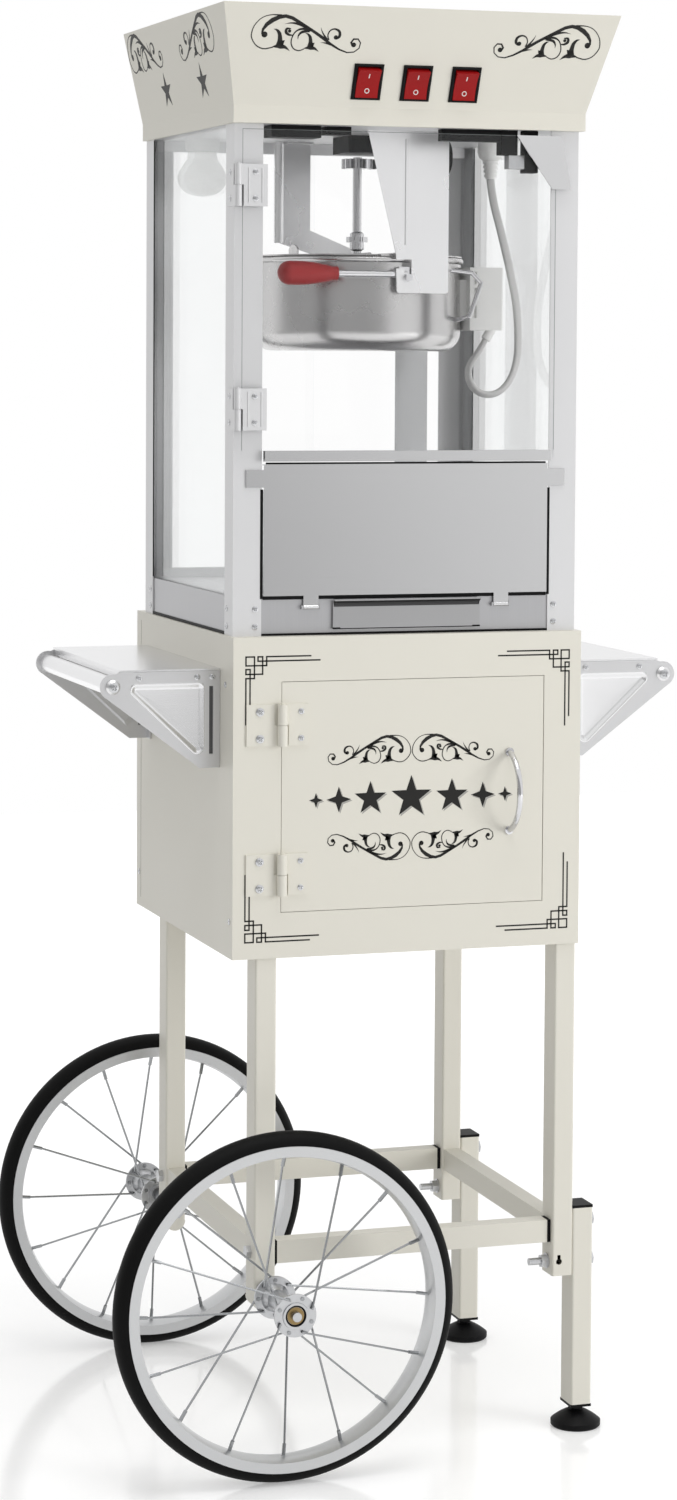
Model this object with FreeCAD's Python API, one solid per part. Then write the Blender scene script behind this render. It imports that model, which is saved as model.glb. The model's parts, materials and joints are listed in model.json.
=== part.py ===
import FreeCAD, Part
import math
import os

os.makedirs("parts", exist_ok=True)
V = FreeCAD.Vector

# A popcorn machine on a two-wheeled cart, in millimetres, front towards -Y, floor at z = 0.
# Everything is drawn about the cart's centre line and then moved right by CART_SHIFT,
# because the wheels reach further out than the shelf on the other side.
CART_SHIFT = 8.0

# Cart body
CART_W, CART_D = 400.0, 404.0
CART_Z0, CART_Z1 = 550.0, 898.0
SHEET = 1.5
FRONT_Y = -CART_D / 2
OPENING = (-145.9, 156.9, 599.4, 849.6)
DOOR = (-145.3, 156.0, 600.0, 849.0)
FOLD = 12.0
HINGE_X, HINGE_Y = -146.2, FRONT_Y - 5.9
HINGE_Z = (803.0, 641.0)
HINGE_H = 45.0
KNUCKLE_R, PIN_R, KNUCKLE_GAP = 5.4, 2.5, 0.4
HANDLE_X, HANDLE_Z0, HANDLE_Z1, HANDLE_REACH, HANDLE_R = 116.5, 679.5, 766.0, 34.0, 3.2

# Shelves
SHELF_Z = 861.0
BAR_X, BAR_Z, BAR_R = 320.0, 843.0, 10.0
BRACKET_Y, BRACKET_T = 152.0, 2.5
BRACKET_FOOT_Z = 753.0

# Legs, rails and wheels
LEG_W, LEG_D = 24.0, 33.0
LEG_Y = 199.0
LEFT_X, RIGHT_X = -161.0, 186.0
LEG_TOP = 620.0
LEFT_FOOT_Z, RIGHT_FOOT_Z = 163.0, 176.0
EXT_Z0, EXT_Z1 = 28.0, 251.0
RAIL_W, RAIL_H, RAIL_Z = 20.0, 25.0, 226.0
CAP_T, RAIL_CAP_T = 3.0, 4.0
BOLT_Z = (190.0, 235.0)
FOOT_R = 28.0
STEM_R = 5.0
TYRE_R = 189.0
FLANGE_TOP_R, RIM_BED_R, RIM_HALF = 175.5, 168.0, 17.0
WHEEL_Y = 274.0
HUB_HALF, CUP_DEPTH, CUP_R, AXLE_R = 40.0, 7.0, 11.5, 5.0
FLANGE_R, FLANGE_W, HOLE_CIRCLE_R = 23.0, 37.0, 19.0
SPOKES_PER_FLANGE = 8
SPOKE_R = 1.25

# Machine cabinet
HALF_W, MACHINE_F, MACHINE_B = 197.0, -188.0, 176.0
POST = 32.0
BASE_TOP = 940.0
ROOF_Z0, KNEE_Z, ROOF_TOP = 1447.0, 1466.0, 1570.0
BAND_HALF, BAND_F, BAND_B = 201.0, -198.0, 179.0
FLARE_SIDE, FLARE_FRONT = 23.5, 43.0
GLASS = (-190.0, 168.0, 1088.6, 1441.0)
GLASS_Y0, GLASS_Y1 = -195.0, -190.5
PANEL_HALF, PANEL_Z0, PANEL_Z1 = 163.0, 941.0, 1083.0
PANEL_FOOT_X, PANEL_AXIS_Y, PANEL_AXIS_Z = 109.5, -189.2, 928.5
PANEL_FOOT_W, PANEL_PIN_R = 17.0, 1.2
GLASS_HINGE_X, GLASS_HINGE_Y = -195.5, -198.0
GLASS_HINGE_Z = (1381.0, 1142.0)
DRAWER_HALF, DRAWER_Z0, DRAWER_Z1 = 84.5, 905.0, 936.0

# Kettle and drive
KETTLE_X, KETTLE_R = 3.0, 118.0
KETTLE_Z0, KETTLE_Z1 = 1205.0, 1310.0
PIVOT_X, PIVOT_Z = 20.0, 1286.0
HANGER_Y = 127.2
TRUNNION_R = 4.0
ARM_Y, ARM_Z, ARM_R = -122.4, 1290.0, 4.2
GRIP_X0, GRIP_X1 = -128.0, -60.0
GEAR_MODULE, STIR_TEETH, DRIVE_TEETH = 2.0, 16, 12
GEAR_Z0, GEAR_Z1 = 1411.0, 1422.0
DRIVE_X = KETTLE_X + GEAR_MODULE * (STIR_TEETH + DRIVE_TEETH) / 2
SOCKET = (117.5, 158.0, -62.0, -14.0, 1229.0, 1300.0)
LAMP_X, LAMP_Y = -148.0, 112.0

# Kettle cord: from the ceiling plug down, round a loose loop and up into the socket's gland
CORD_R = 3.5
CORD_ROUTE = [
    (150.7, -36, 1401), (152.5, -36.5, 1380), (163.4, -38, 1341), (173.4, -39.5, 1300), (181.8, -41, 1260),
    (183.7, -42.5, 1224), (182.2, -44, 1196), (173.4, -46, 1172), (156.1, -48, 1156), (134.9, -50, 1156.5),
    (120.6, -52, 1169.5), (119.1, -53.5, 1188.5), (130, -55, 1203.5), (138.6, -56, 1218.5)]
GLAND_TOP = (145.5, -56.8, 1230.5)

# Rocker switches on the sloping roof front
SWITCH_X = (-55.5, 0.0, 55.5)
SWITCH_UP = 29.2
BEZEL_W, BEZEL_H = 33.0, 40.0
ROCKER_W, ROCKER_HALF = 25.0, 16.0
ROCKER_PIVOT, ROCKER_PIN_R = -3.0, 1.8
ROCKER_TILT = 7.0


def box(x0, x1, y0, y1, z0, z1):
    return Part.makeBox(x1 - x0, y1 - y0, z1 - z0, V(x0, y0, z0))


def rod(a, b, r):
    """A round bar from point a to point b."""
    a, b = V(*a), V(*b)
    return Part.makeCylinder(r, (b - a).Length, a, b - a)


def outline(place, start, *steps):
    """A closed wire: each step is the next corner, or a pair (point on the arc, its end)."""
    edges = []
    here = start
    for step in steps + (start,):
        if isinstance(step[0], tuple):
            middle, end = step
            edges.append(Part.Arc(place(*here), place(*middle), place(*end)).toShape())
            here = end
        elif step != here:
            edges.append(Part.LineSegment(place(*here), place(*step)).toShape())
            here = step
    return Part.Wire(edges)


def plate_xz(y0, y1, *corners):
    """A sheet cut to an outline in X and Z, between two Y planes."""
    wire = outline(lambda x, z: V(x, y0, z), *corners)
    return Part.Face(wire).extrude(V(0, y1 - y0, 0))


def plate_xy(z0, z1, *corners):
    wire = outline(lambda x, y: V(x, y, z0), *corners)
    return Part.Face(wire).extrude(V(0, 0, z1 - z0))


def spun_z(x, y, *profile):
    """A turned piece on an upright axis; the profile holds (radius, height)."""
    wire = outline(lambda r, z: V(r, 0, z), *profile)
    piece = Part.Face(wire).revolve(V(0, 0, 0), V(0, 0, 1), 360)
    piece.translate(V(x, y, 0))
    return piece


def spun_y(x, y, z, *profile):
    """A turned piece on an axis along Y; the profile holds (radius, distance along the axis)."""
    wire = outline(lambda r, w: V(r, w, 0), *profile)
    piece = Part.Face(wire).revolve(V(0, 0, 0), V(0, 1, 0), 360)
    piece.translate(V(x, y, z))
    return piece


def prism(a, b, r, sides=6):
    """A bar with flat sides from point a to point b, r across its corners."""
    a, b = V(*a), V(*b)
    along = (b - a).normalize()
    across = along.cross(V(0.3, 0.2, 1)).normalize()
    third = along.cross(across)
    turn = [2 * math.pi * k / sides for k in range(sides + 1)]
    ring = [a + across * (r * math.cos(t)) + third * (r * math.sin(t)) for t in turn[:-1]]
    return Part.Face(Part.makePolygon(ring + ring[:1])).extrude(b - a)


def tube_box(x0, x1, y0, y1, z0, z1, floor=0):
    """An upright rectangular tube with eased corners; floor is the thickness of a closed bottom."""
    outer = box(x0, x1, y0, y1, z0, z1)
    corners = [e for e in outer.Edges if abs(e.Vertexes[0].Z - e.Vertexes[-1].Z) > 1]
    outer = outer.makeFillet(2.5, corners)
    start = z0 + floor if floor else z0 - 1
    return outer.cut(box(x0 + SHEET, x1 - SHEET, y0 + SHEET, y1 - SHEET, start, z1 + 1))


def mirrored_y(piece):
    return piece.mirror(V(0, 0, 0), V(0, 1, 0))


def save(name, *pieces):
    shape = pieces[0] if len(pieces) == 1 else Part.makeCompound(list(pieces))
    shape = shape.copy()
    shape.translate(V(CART_SHIFT, 0, 0))
    shape.exportStep("parts/" + name + ".step")


# Cart front panel: a frame whose door opening has an edge folded inwards all round
def cart_front():
    x0, x1, z0, z1 = OPENING
    half = CART_W / 2
    sheet = box(-half, half, FRONT_Y, FRONT_Y + SHEET, CART_Z0, CART_Z1)
    rim = box(x0 - SHEET, x1 + SHEET, FRONT_Y, FRONT_Y + FOLD, z0 - SHEET, z1 + SHEET)
    return sheet.fuse(rim).cut(box(x0, x1, FRONT_Y - 1, FRONT_Y + FOLD + 1, z0, z1)).removeSplitter()


save("cart_front", cart_front())


# Side panels fold round at both upright edges; the back panel closes between them
def cart_side(side):
    half, inner = CART_W / 2, CART_D / 2 - SHEET
    corners = [(half, -inner), (half, inner), (half - FOLD, inner), (half - FOLD, inner - SHEET),
               (half - SHEET, inner - SHEET), (half - SHEET, SHEET - inner),
               (half - FOLD, SHEET - inner), (half - FOLD, -inner)]
    return plate_xy(CART_Z0, CART_Z1, *[(side * x, y) for x, y in corners])


save("cart_sides", cart_side(-1), cart_side(1))
save("cart_back", box(-CART_W / 2, CART_W / 2, CART_D / 2 - SHEET, CART_D / 2, CART_Z0, CART_Z1))


def leg_spot(x, side_y, grow=0.0):
    """Plan corners of a leg: centre line x, at the front (-1) or back (+1)."""
    y0, y1 = sorted((side_y * LEG_Y, side_y * (LEG_Y - LEG_D)))
    return x - LEG_W / 2 - grow, x + LEG_W / 2 + grow, y0 - grow, y1 + grow


def cart_decks():
    half, inner = CART_W / 2 - SHEET, CART_D / 2 - SHEET - SHEET
    top = box(-half, half, -inner, inner, CART_Z1 - SHEET, CART_Z1)
    floor = box(-half, half, -inner, inner, CART_Z0, CART_Z0 + SHEET)
    for x in (LEFT_X, RIGHT_X):
        for side in (-1, 1):
            floor = floor.cut(box(*leg_spot(x, side, 0.2), CART_Z0 - 1, CART_Z0 + SHEET + 1))
    return top, floor


save("cart_decks", *cart_decks())


# The door is a shallow tray, open towards the cabinet
def cart_door():
    x0, x1, z0, z1 = DOOR
    tray = box(x0, x1, FRONT_Y, FRONT_Y + FOLD, z0, z1)
    return tray.cut(box(x0 + SHEET, x1 - SHEET, FRONT_Y + SHEET, FRONT_Y + FOLD + 1, z0 + SHEET, z1 - SHEET))


save("cart_door", cart_door())

def lift_off_hinge(x, y, r, pin, middle, fixed, moving):
    """The fixed leaf gets the lower knuckle and the pin; the moving one drops onto it from above."""
    low, high = middle - HINGE_H / 2, middle + HINGE_H / 2
    seat = middle + KNUCKLE_GAP
    reach = r + 2.6
    around = lambda z0, z1: box(x - reach, x + reach, y - reach, y + reach, z0, z1)
    at = lambda z: (x, y, z)
    fixed = fixed.cut(around(middle, high + 1)).fuse(rod(at(low), at(middle), r))
    moving = moving.cut(around(low - 1, seat)).fuse(rod(at(seat), at(high), r))
    fixed = fixed.fuse(rod(at(low), at(high + 1.5), pin))
    return fixed, moving.cut(rod(at(low), at(high + 2), pin + 0.06))


def cart_hinge(middle):
    """Both leaves lie on the front panel, the right one on the door."""
    low, high = middle - HINGE_H / 2, middle + HINGE_H / 2
    fixed = box(HINGE_X - 39.3, HINGE_X, FRONT_Y - 2, FRONT_Y, low, high)
    moving = box(HINGE_X, HINGE_X + 30.2, FRONT_Y - 2, FRONT_Y, low, high)
    return lift_off_hinge(HINGE_X, HINGE_Y, KNUCKLE_R, PIN_R, middle, fixed, moving)


CART_HINGES = [cart_hinge(z) for z in HINGE_Z]
save("cart_hinge_fixed", *[h[0] for h in CART_HINGES])
save("cart_hinge_moving", *[h[1] for h in CART_HINGES])


# Arched wire handle on two collars
def cart_door_handle():
    middle = (HANDLE_Z0 + HANDLE_Z1) / 2
    ends = [V(HANDLE_X, FRONT_Y, z) for z in (HANDLE_Z0, HANDLE_Z1)]
    arch = Part.Arc(ends[0], V(HANDLE_X, FRONT_Y - HANDLE_REACH, middle), ends[1])
    tangent = arch.tangent(arch.FirstParameter)[0]
    ring = Part.Wire(Part.makeCircle(HANDLE_R, ends[0], tangent))
    bow = Part.Wire(arch.toShape()).makePipeShell([ring], True, True)
    for z in (HANDLE_Z0, HANDLE_Z1):
        bow = bow.fuse(rod((HANDLE_X, FRONT_Y - 2, z), (HANDLE_X, FRONT_Y, z), HANDLE_R + 1.5))
    return bow.cut(box(HANDLE_X - 20, HANDLE_X + 20, FRONT_Y, FRONT_Y + 20, HANDLE_Z0 - 20, HANDLE_Z1 + 20))


save("cart_door_handle", cart_door_handle())


# Side shelves: a folded top plate on two pressed brackets, with a round bar at the outer edge
def shelf_top(side):
    wall, edge = CART_W / 2, BAR_X - 7
    half, lip_half = BRACKET_Y + 1, BRACKET_Y - BRACKET_T - 0.5
    plate_x = sorted((side * wall, side * edge))
    lip_x = sorted((side * (edge - 2), side * edge))
    plate = box(*plate_x, -half, half, SHELF_Z - 2, SHELF_Z)
    return plate.fuse(box(*lip_x, -lip_half, lip_half, SHELF_Z - 9, SHELF_Z - 2))


def pressed_panel(corners, y0, y1):
    """A shallow hollow with bevelled walls: the outline at y0 and a smaller one at y1."""
    x = sum(c[0] for c in corners) / len(corners)
    z = sum(c[1] for c in corners) / len(corners)
    floor = [(x + 0.86 * (cx - x), z + 0.86 * (cz - z)) for cx, cz in corners]
    rings = []
    for y, ring in ((y0, corners), (y1, floor)):
        points = [V(cx, y, cz) for cx, cz in ring]
        rings.append(Part.makePolygon(points + points[:1]))
    return Part.makeLoft(rings, True, True)


def shelf_bracket(side, end):
    """A triangular sheet bracket: pressed panel, upright slot, flange on the cart, eye for the bar."""
    wall = CART_W / 2 + 0.3
    foot, top = BRACKET_FOOT_Z, SHELF_Z - 2
    outer, inner = end * BRACKET_Y, end * (BRACKET_Y - BRACKET_T)
    y0, y1 = sorted((outer, inner))
    shape = [(wall, top), (wall, foot), (wall + 22.7, foot), (BAR_X + 10, BAR_Z - 9.8),
             (BAR_X + 2, BAR_Z + 12), (BAR_X - 9, top)]
    sheet = plate_xz(y0, y1, *[(side * x, z) for x, z in shape])
    sheet = sheet.fuse(rod((side * BAR_X, y0, BAR_Z), (side * BAR_X, y1, BAR_Z), 14))
    flange_y = sorted((end * BRACKET_Y, end * (BRACKET_Y - 16)))
    flange_x = sorted((side * wall, side * (wall + 2)))
    sheet = sheet.fuse(box(*flange_x, *flange_y, foot, top))
    press = [(wall + 18, top - 14), (wall + 18, foot + 20), (wall + 26, foot + 14),
             (BAR_X - 20, BAR_Z - 7), (BAR_X - 20, top - 14)]
    press = [(side * x, z) for x, z in press]
    sheet = sheet.fuse(pressed_panel(press, inner, inner - end * 3))
    sheet = sheet.cut(pressed_panel(press, outer, outer - end * 3))
    slot_x = sorted((side * (wall + 7.7), side * (wall + 12.2)))
    sheet = sheet.cut(box(*slot_x, y0 - 1, y1 + 1, foot + 15, top - 17))
    hole = rod((side * BAR_X, y0 - 1, BAR_Z), (side * BAR_X, y1 + 1, BAR_Z), 4)
    return sheet.cut(hole).removeSplitter()


def shelf_bar(side):
    """A tube between the brackets, with a screw head outside each of them."""
    inside, outside = BRACKET_Y - BRACKET_T, BRACKET_Y
    profile = [(0, -outside - 4), (5, -outside - 4), (8, -outside - 1.5), (8, -outside),
               (4, -outside), (4, -inside), (BAR_R, -inside), (BAR_R, inside), (4, inside),
               (4, outside), (8, outside), (8, outside + 1.5), (5, outside + 4), (0, outside + 4)]
    return spun_y(side * BAR_X, 0, BAR_Z, *profile)


save("shelf_tops", shelf_top(-1), shelf_top(1))
save("shelf_brackets", *[shelf_bracket(s, e) for s in (-1, 1) for e in (-1, 1)])
save("shelf_bars", shelf_bar(-1), shelf_bar(1))

AXLE_Z = TYRE_R


# Legs: the left pair ends round below the axle, the right pair carries bolted extensions
def left_leg(side):
    x0, x1, y0, y1 = leg_spot(LEFT_X, side)
    bend = LEFT_FOOT_Z + LEG_W / 2
    leg = tube_box(x0, x1, y0, y1, bend, LEG_TOP)
    sole = rod((LEFT_X, y0, bend), (LEFT_X, y1, bend), LEG_W / 2)
    sole = sole.common(box(x0 - 1, x1 + 1, y0, y1, LEFT_FOOT_Z - 1, bend))
    hole = rod((LEFT_X, y0 - 1, AXLE_Z), (LEFT_X, y1 + 1, AXLE_Z), AXLE_R + 0.05)
    screw = rod((x0 - 1, (y0 + y1) / 2, RAIL_Z), (x0 + 5, (y0 + y1) / 2, RAIL_Z), 4.2)
    return leg.fuse(sole).cut([hole, screw])


def bolt_holes(x0, x1, y):
    return [rod((x0 - 1, y, z), (x1 + 1, y, z), 4.2) for z in BOLT_Z]


def keyhole(side):
    """An upright keyhole in the outer face of a right leg."""
    face = side * LEG_Y
    y0, y1 = sorted((face + side, face - side * 2.5))
    x, z = RIGHT_X - 4, 192
    return rod((x, y0, z), (x, y1, z), 3.5).fuse(box(x - 2, x + 2, y0, y1, z, z + 7.5))


def right_leg(side):
    x0, x1, y0, y1 = leg_spot(RIGHT_X, side)
    leg = tube_box(x0, x1, y0, y1, RIGHT_FOOT_Z, LEG_TOP, SHEET)
    return leg.cut(bolt_holes(x0, x1, (y0 + y1) / 2) + [keyhole(side)])


def leg_extension(side):
    x0, x1, y0, y1 = leg_spot(RIGHT_X + LEG_W, side)
    return tube_box(x0, x1, y0, y1, EXT_Z0, EXT_Z1).cut(bolt_holes(x0, x1, (y0 + y1) / 2))


LEG_SIDES = (-1, 1)
save("legs", *[make(s) for make in (left_leg, right_leg, leg_extension) for s in LEG_SIDES])


# Rails: two along the cart, which end in black caps against the legs, and two plain ones across it
def rail_ends():
    """Long and cross rails as (x0, x1, y0, y1), with the axis that they run along."""
    rails = []
    for side in (-1, 1):
        middle = side * (LEG_Y - LEG_D / 2)
        rails.append(((LEFT_X + LEG_W / 2, RIGHT_X - LEG_W / 2, middle - RAIL_W / 2, middle + RAIL_W / 2), "x"))
    gap = LEG_Y - LEG_D
    for x in (LEFT_X, RIGHT_X):
        rails.append(((x - RAIL_W / 2, x + RAIL_W / 2, -gap, gap), "y"))
    return rails


def rail_and_caps(span, axis):
    x0, x1, y0, y1 = span
    z0, z1 = RAIL_Z - RAIL_H / 2, RAIL_Z + RAIL_H / 2
    cap = RAIL_CAP_T if axis == "x" else 0
    hollow_x, hollow_y = (-1, SHEET) if axis == "x" else (SHEET, -1)
    bar = box(x0 + cap, x1 - cap, y0, y1, z0, z1)
    bar = bar.cut(box(x0 + cap + hollow_x, x1 - cap - hollow_x, y0 + hollow_y, y1 - hollow_y,
                      z0 + SHEET, z1 - SHEET))
    caps = [box(x0, x0 + cap, y0, y1, z0, z1), box(x1 - cap, x1, y0, y1, z0, z1)] if cap else []
    return bar, caps


RAILS = [rail_and_caps(span, axis) for span, axis in rail_ends()]
save("cross_rails", *[bar for bar, caps in RAILS])


def leg_caps(side):
    """Caps on both ends of a right leg's extension; the lower one guides the foot's stem."""
    x0, x1, y0, y1 = leg_spot(RIGHT_X + LEG_W, side)
    top = box(x0, x1, y0, y1, EXT_Z1, EXT_Z1 + CAP_T)
    low = box(x0, x1, y0, y1, EXT_Z0 - CAP_T, EXT_Z0)
    low = low.fuse(box(x0 + 2, x1 - 2, y0 + 2, y1 - 2, EXT_Z0, EXT_Z0 + 10))
    x, y = (x0 + x1) / 2, (y0 + y1) / 2
    return [top, low.cut(rod((x, y, 0), (x, y, EXT_Z0 + 20), STEM_R + 0.06))]


save("tube_caps", *[c for bar, caps in RAILS for c in caps], *[c for s in LEG_SIDES for c in leg_caps(s)])


def leg_bolt(y, z):
    """A hexagon bolt through leg and extension: nutted where the leg is free, short where a rail meets it."""
    outside, inside = RIGHT_X + LEG_W * 1.5, RIGHT_X - LEG_W / 2
    free = abs(z - RAIL_Z) > RAIL_H
    bolt = rod((inside - 22 if free else inside + 3, y, z), (outside, y, z), 4)
    bolt = bolt.fuse(prism((outside, y, z), (outside + 5.5, y, z), 7.5))
    if free:
        bolt = bolt.fuse([rod((inside - 1.6, y, z), (inside, y, z), 8.5),
                          prism((inside - 8, y, z), (inside - 1.6, y, z), 7.5)])
    return bolt


def rail_screw(y):
    """A hexagon screw through the left leg's outer wall, level with the rails."""
    face = LEFT_X - LEG_W / 2
    screw = prism((face - 5.5, y, RAIL_Z), (face, y, RAIL_Z), 7.5)
    return screw.fuse(rod((face, y, RAIL_Z), (face + 4, y, RAIL_Z), 4))


LEG_MIDDLES = [s * (LEG_Y - LEG_D / 2) for s in LEG_SIDES]
save("leg_bolts", *[leg_bolt(y, z) for y in LEG_MIDDLES for z in BOLT_Z], *[rail_screw(y) for y in LEG_MIDDLES])


def levelling_foot(side):
    """A domed pad on a threaded stem, with a thin lock nut."""
    x, y = RIGHT_X + LEG_W, side * (LEG_Y - LEG_D / 2)
    pad = spun_z(x, y, (0, 0), (FOOT_R - 2, 0), (FOOT_R, 2), (FOOT_R, 7), ((20, 13), (9, 19)),
                 (STEM_R, 19), (STEM_R, 62), (0, 62))
    return pad.fuse(prism((x, y, 20.5), (x, y, 24.2), 9))


save("foot_front", levelling_foot(-1))
save("foot_rear", levelling_foot(1))


def stub_axle():
    """Stud through the left leg: nut, leg, nut, spacer into the hub's cup, outer cone, grooved end."""
    inner, outer = LEG_D - LEG_Y, -LEG_Y
    cup_in = HUB_HALF - CUP_DEPTH - WHEEL_Y + 0.4
    cup_out = CUP_DEPTH - HUB_HALF - WHEEL_Y - 0.4
    end = -HUB_HALF - WHEEL_Y - 5
    at = lambda y: (LEFT_X, y, AXLE_Z)
    axle = rod(at(inner + 11), at(end), AXLE_R)
    for y0, y1 in ((inner, inner + 8), (outer - 8, outer)):
        axle = axle.fuse(prism(at(y0), at(y1), 9.8))
    axle = axle.fuse([rod(at(outer - 8), at(cup_in), 8), rod(at(cup_out), at(cup_out - 5), 9.5)])
    groove = rod(at(end + 1.2), at(end + 2.4), 8).cut(rod(at(end), at(end + 4), AXLE_R - 1))
    return axle.cut(groove)


FRONT_AXLE = stub_axle()
save("axles", FRONT_AXLE, mirrored_y(FRONT_AXLE))


# Wheels
def wheel_rim(y):
    """Two flanges with a channel for the tyre between them, and a rounded inner face."""
    top, bed, half, lip = FLANGE_TOP_R, RIM_BED_R, RIM_HALF, RIM_HALF - 2
    return spun_y(LEFT_X, y, AXLE_Z, (top, -half), (top, -lip), (bed, -lip), (bed, lip), (top, lip), (top, half),
                  (bed - 3.5, half), ((bed - 6.5, 0), (bed - 3.5, -half)))


def wheel_tyre(y):
    """A solid tyre: its foot fills the rim's channel and its tread bulges over the flanges."""
    lip, reach, foot = FLANGE_TOP_R + 0.1, RIM_HALF - 1, RIM_HALF - 2.2
    return spun_y(LEFT_X, y, AXLE_Z, (lip, -reach), ((TYRE_R, 0), (lip, reach)), (lip, foot), (RIM_BED_R, foot),
                  (RIM_BED_R, -foot), (lip, -foot))


def flange_angles(side):
    step = 360 / SPOKES_PER_FLANGE
    return [math.radians(step * k + (0 if side > 0 else step / 2)) for k in range(SPOKES_PER_FLANGE)]


def wheel_hub(y):
    """Barrel with two drilled flanges and an open bearing cup at each end."""
    f0, f1, end, floor = FLANGE_W - 1.5, FLANGE_W + 1.5, HUB_HALF, HUB_HALF - CUP_DEPTH
    bore = AXLE_R + 0.06
    hub = spun_y(LEFT_X, y, AXLE_Z, (bore, -floor), (CUP_R, -floor), (CUP_R, -end), (14, -end), (14.5, -f1),
                 (FLANGE_R, -f1), (FLANGE_R, -f0), (15.5, -f0), (11, -27), (11, 27), (15.5, f0), (FLANGE_R, f0),
                 (FLANGE_R, f1), (14.5, f1), (14, end), (CUP_R, end), (CUP_R, floor), (bore, floor))
    drills = []
    for side in (-1, 1):
        for a in flange_angles(side):
            x, z = LEFT_X + HOLE_CIRCLE_R * math.cos(a), AXLE_Z + HOLE_CIRCLE_R * math.sin(a)
            drills.append(prism((x, y + side * (f0 - 1), z), (x, y + side * (f1 + 1), z), 1.7))
    return hub.cut(drills)


def spoke(y, side, k, angle):
    """One spoke: head and elbow in the flange, a straight run to the rim, and its nipple.

    Even spokes leave the flange's outer face and lean forwards, odd ones leave the inner face
    and lean back, so each pair crosses without touching.
    """
    out = 1 if k % 2 == 0 else -1
    lean = math.radians(45) * out
    at = lambda r, w, a: (LEFT_X + r * math.cos(a), y + w, AXLE_Z + r * math.sin(a))
    face = lambda away: side * (FLANGE_W + out * (1.5 + away))
    back = side * (FLANGE_W - out * 1.5)
    clear = SPOKE_R + 1.7
    rim_r, seat_r = RIM_BED_R - 6, RIM_BED_R - 18
    start, rim = at(HOLE_CIRCLE_R, face(clear), angle), at(rim_r, side * 3, angle + lean)
    share = (rim_r - seat_r) / (rim_r - HOLE_CIRCLE_R)
    seat = at(seat_r, side * 3 + (face(clear) - side * 3) * share, angle + lean * 0.985)
    head_end = at(HOLE_CIRCLE_R, back - side * out * 0.9, angle)
    elbow = prism(head_end, at(HOLE_CIRCLE_R, face(clear + SPOKE_R), angle), SPOKE_R)
    head = prism(head_end, at(HOLE_CIRCLE_R, back, angle), 2.4)
    return elbow.fuse([head, prism(start, seat, SPOKE_R), prism(seat, rim, 2.1)])


def wheel_spokes(y):
    return [spoke(y, side, k, a) for side in (-1, 1) for k, a in enumerate(flange_angles(side))]


for wheel, wheel_y in (("front", -WHEEL_Y), ("rear", WHEEL_Y)):
    save(wheel + "_tyre", wheel_tyre(wheel_y))
    save(wheel + "_rim", wheel_rim(wheel_y))
    save(wheel + "_hub", wheel_hub(wheel_y))
    save(wheel + "_spokes", *wheel_spokes(wheel_y))


# Machine base: an open sheet box with a drawer mouth in front, two drawer runners and the panel's pins
def panel_pin(x, wall):
    """A pin between two ears, which one foot of the serving panel turns on."""
    y, z, half = PANEL_AXIS_Y, PANEL_AXIS_Z, PANEL_FOOT_W / 2 + 0.5
    pin = rod((x - half - 1, y, z), (x + half + 1, y, z), PANEL_PIN_R)
    for x0 in (x - half - 2, x + half):
        pin = pin.fuse(box(x0, x0 + 2, y - 2, wall + 0.5, z - 2, z + 2))
    return pin


def machine_base():
    half, y0, y1 = HALF_W - 1.6, MACHINE_F + 1.6, MACHINE_B - 1.6
    shell = box(-half, half, y0, y1, CART_Z1, BASE_TOP)
    shell = shell.cut(box(SHEET - half, half - SHEET, y0 + SHEET, y1 - SHEET, CART_Z1 + SHEET, BASE_TOP + 1))
    mouth = DRAWER_HALF - 2.5
    shell = shell.cut(box(-mouth, mouth, y0 - 1, y0 + SHEET + 1, DRAWER_Z0 - 1, DRAWER_Z1 - 2))
    for side in (-1, 1):
        x0, x1 = sorted((side * 70, side * 88))
        shell = shell.fuse(box(x0, x1, y0 + SHEET, -30, CART_Z1 + SHEET, DRAWER_Z0 - 0.4))
        shell = shell.fuse(panel_pin(side * PANEL_FOOT_X, y0))
    return shell


save("machine_base", machine_base())


def popcorn_floor():
    """Tray floor with rows of slots that let unpopped kernels fall into the drawer."""
    half, y0, y1 = HALF_W - 3.2, MACHINE_F + 3.2, MACHINE_B - 3.2
    floor = box(-half, half, y0, y1, BASE_TOP - SHEET, BASE_TOP)
    slots = [box(x - 2.5, x + 2.5, y, y + 34, BASE_TOP - 5, BASE_TOP + 5)
             for x in range(-66, 67, 12) for y in (-150, -108, -66)]
    return floor.cut(slots)


save("popcorn_floor", popcorn_floor())


def kernel_drawer():
    """Tray with a front plate whose top edge rolls forwards as a finger pull."""
    y0 = MACHINE_F - 0.4
    body_half = DRAWER_HALF - 4
    tray = box(-body_half, body_half, y0, -34, DRAWER_Z0, DRAWER_Z1 - 8)
    tray = tray.cut(box(1.2 - body_half, body_half - 1.2, y0 - 1, -35.2, DRAWER_Z0 + 1.2, DRAWER_Z1))
    face = outline(lambda y, z: V(-DRAWER_HALF, y, z), (y0, DRAWER_Z0), (y0 - 2, DRAWER_Z0),
                   (y0 - 2, DRAWER_Z1 - 7), ((y0 - 3.6, DRAWER_Z1 - 2.6), (y0 - 8, DRAWER_Z1 - 1)),
                   (y0 - 8, DRAWER_Z1 + 0.6), ((y0 - 2.2, DRAWER_Z1 - 1.4), (y0, DRAWER_Z1 - 7)))
    return tray.fuse(Part.Face(face).extrude(V(2 * DRAWER_HALF, 0, 0)))


save("kernel_drawer", kernel_drawer())


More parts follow.
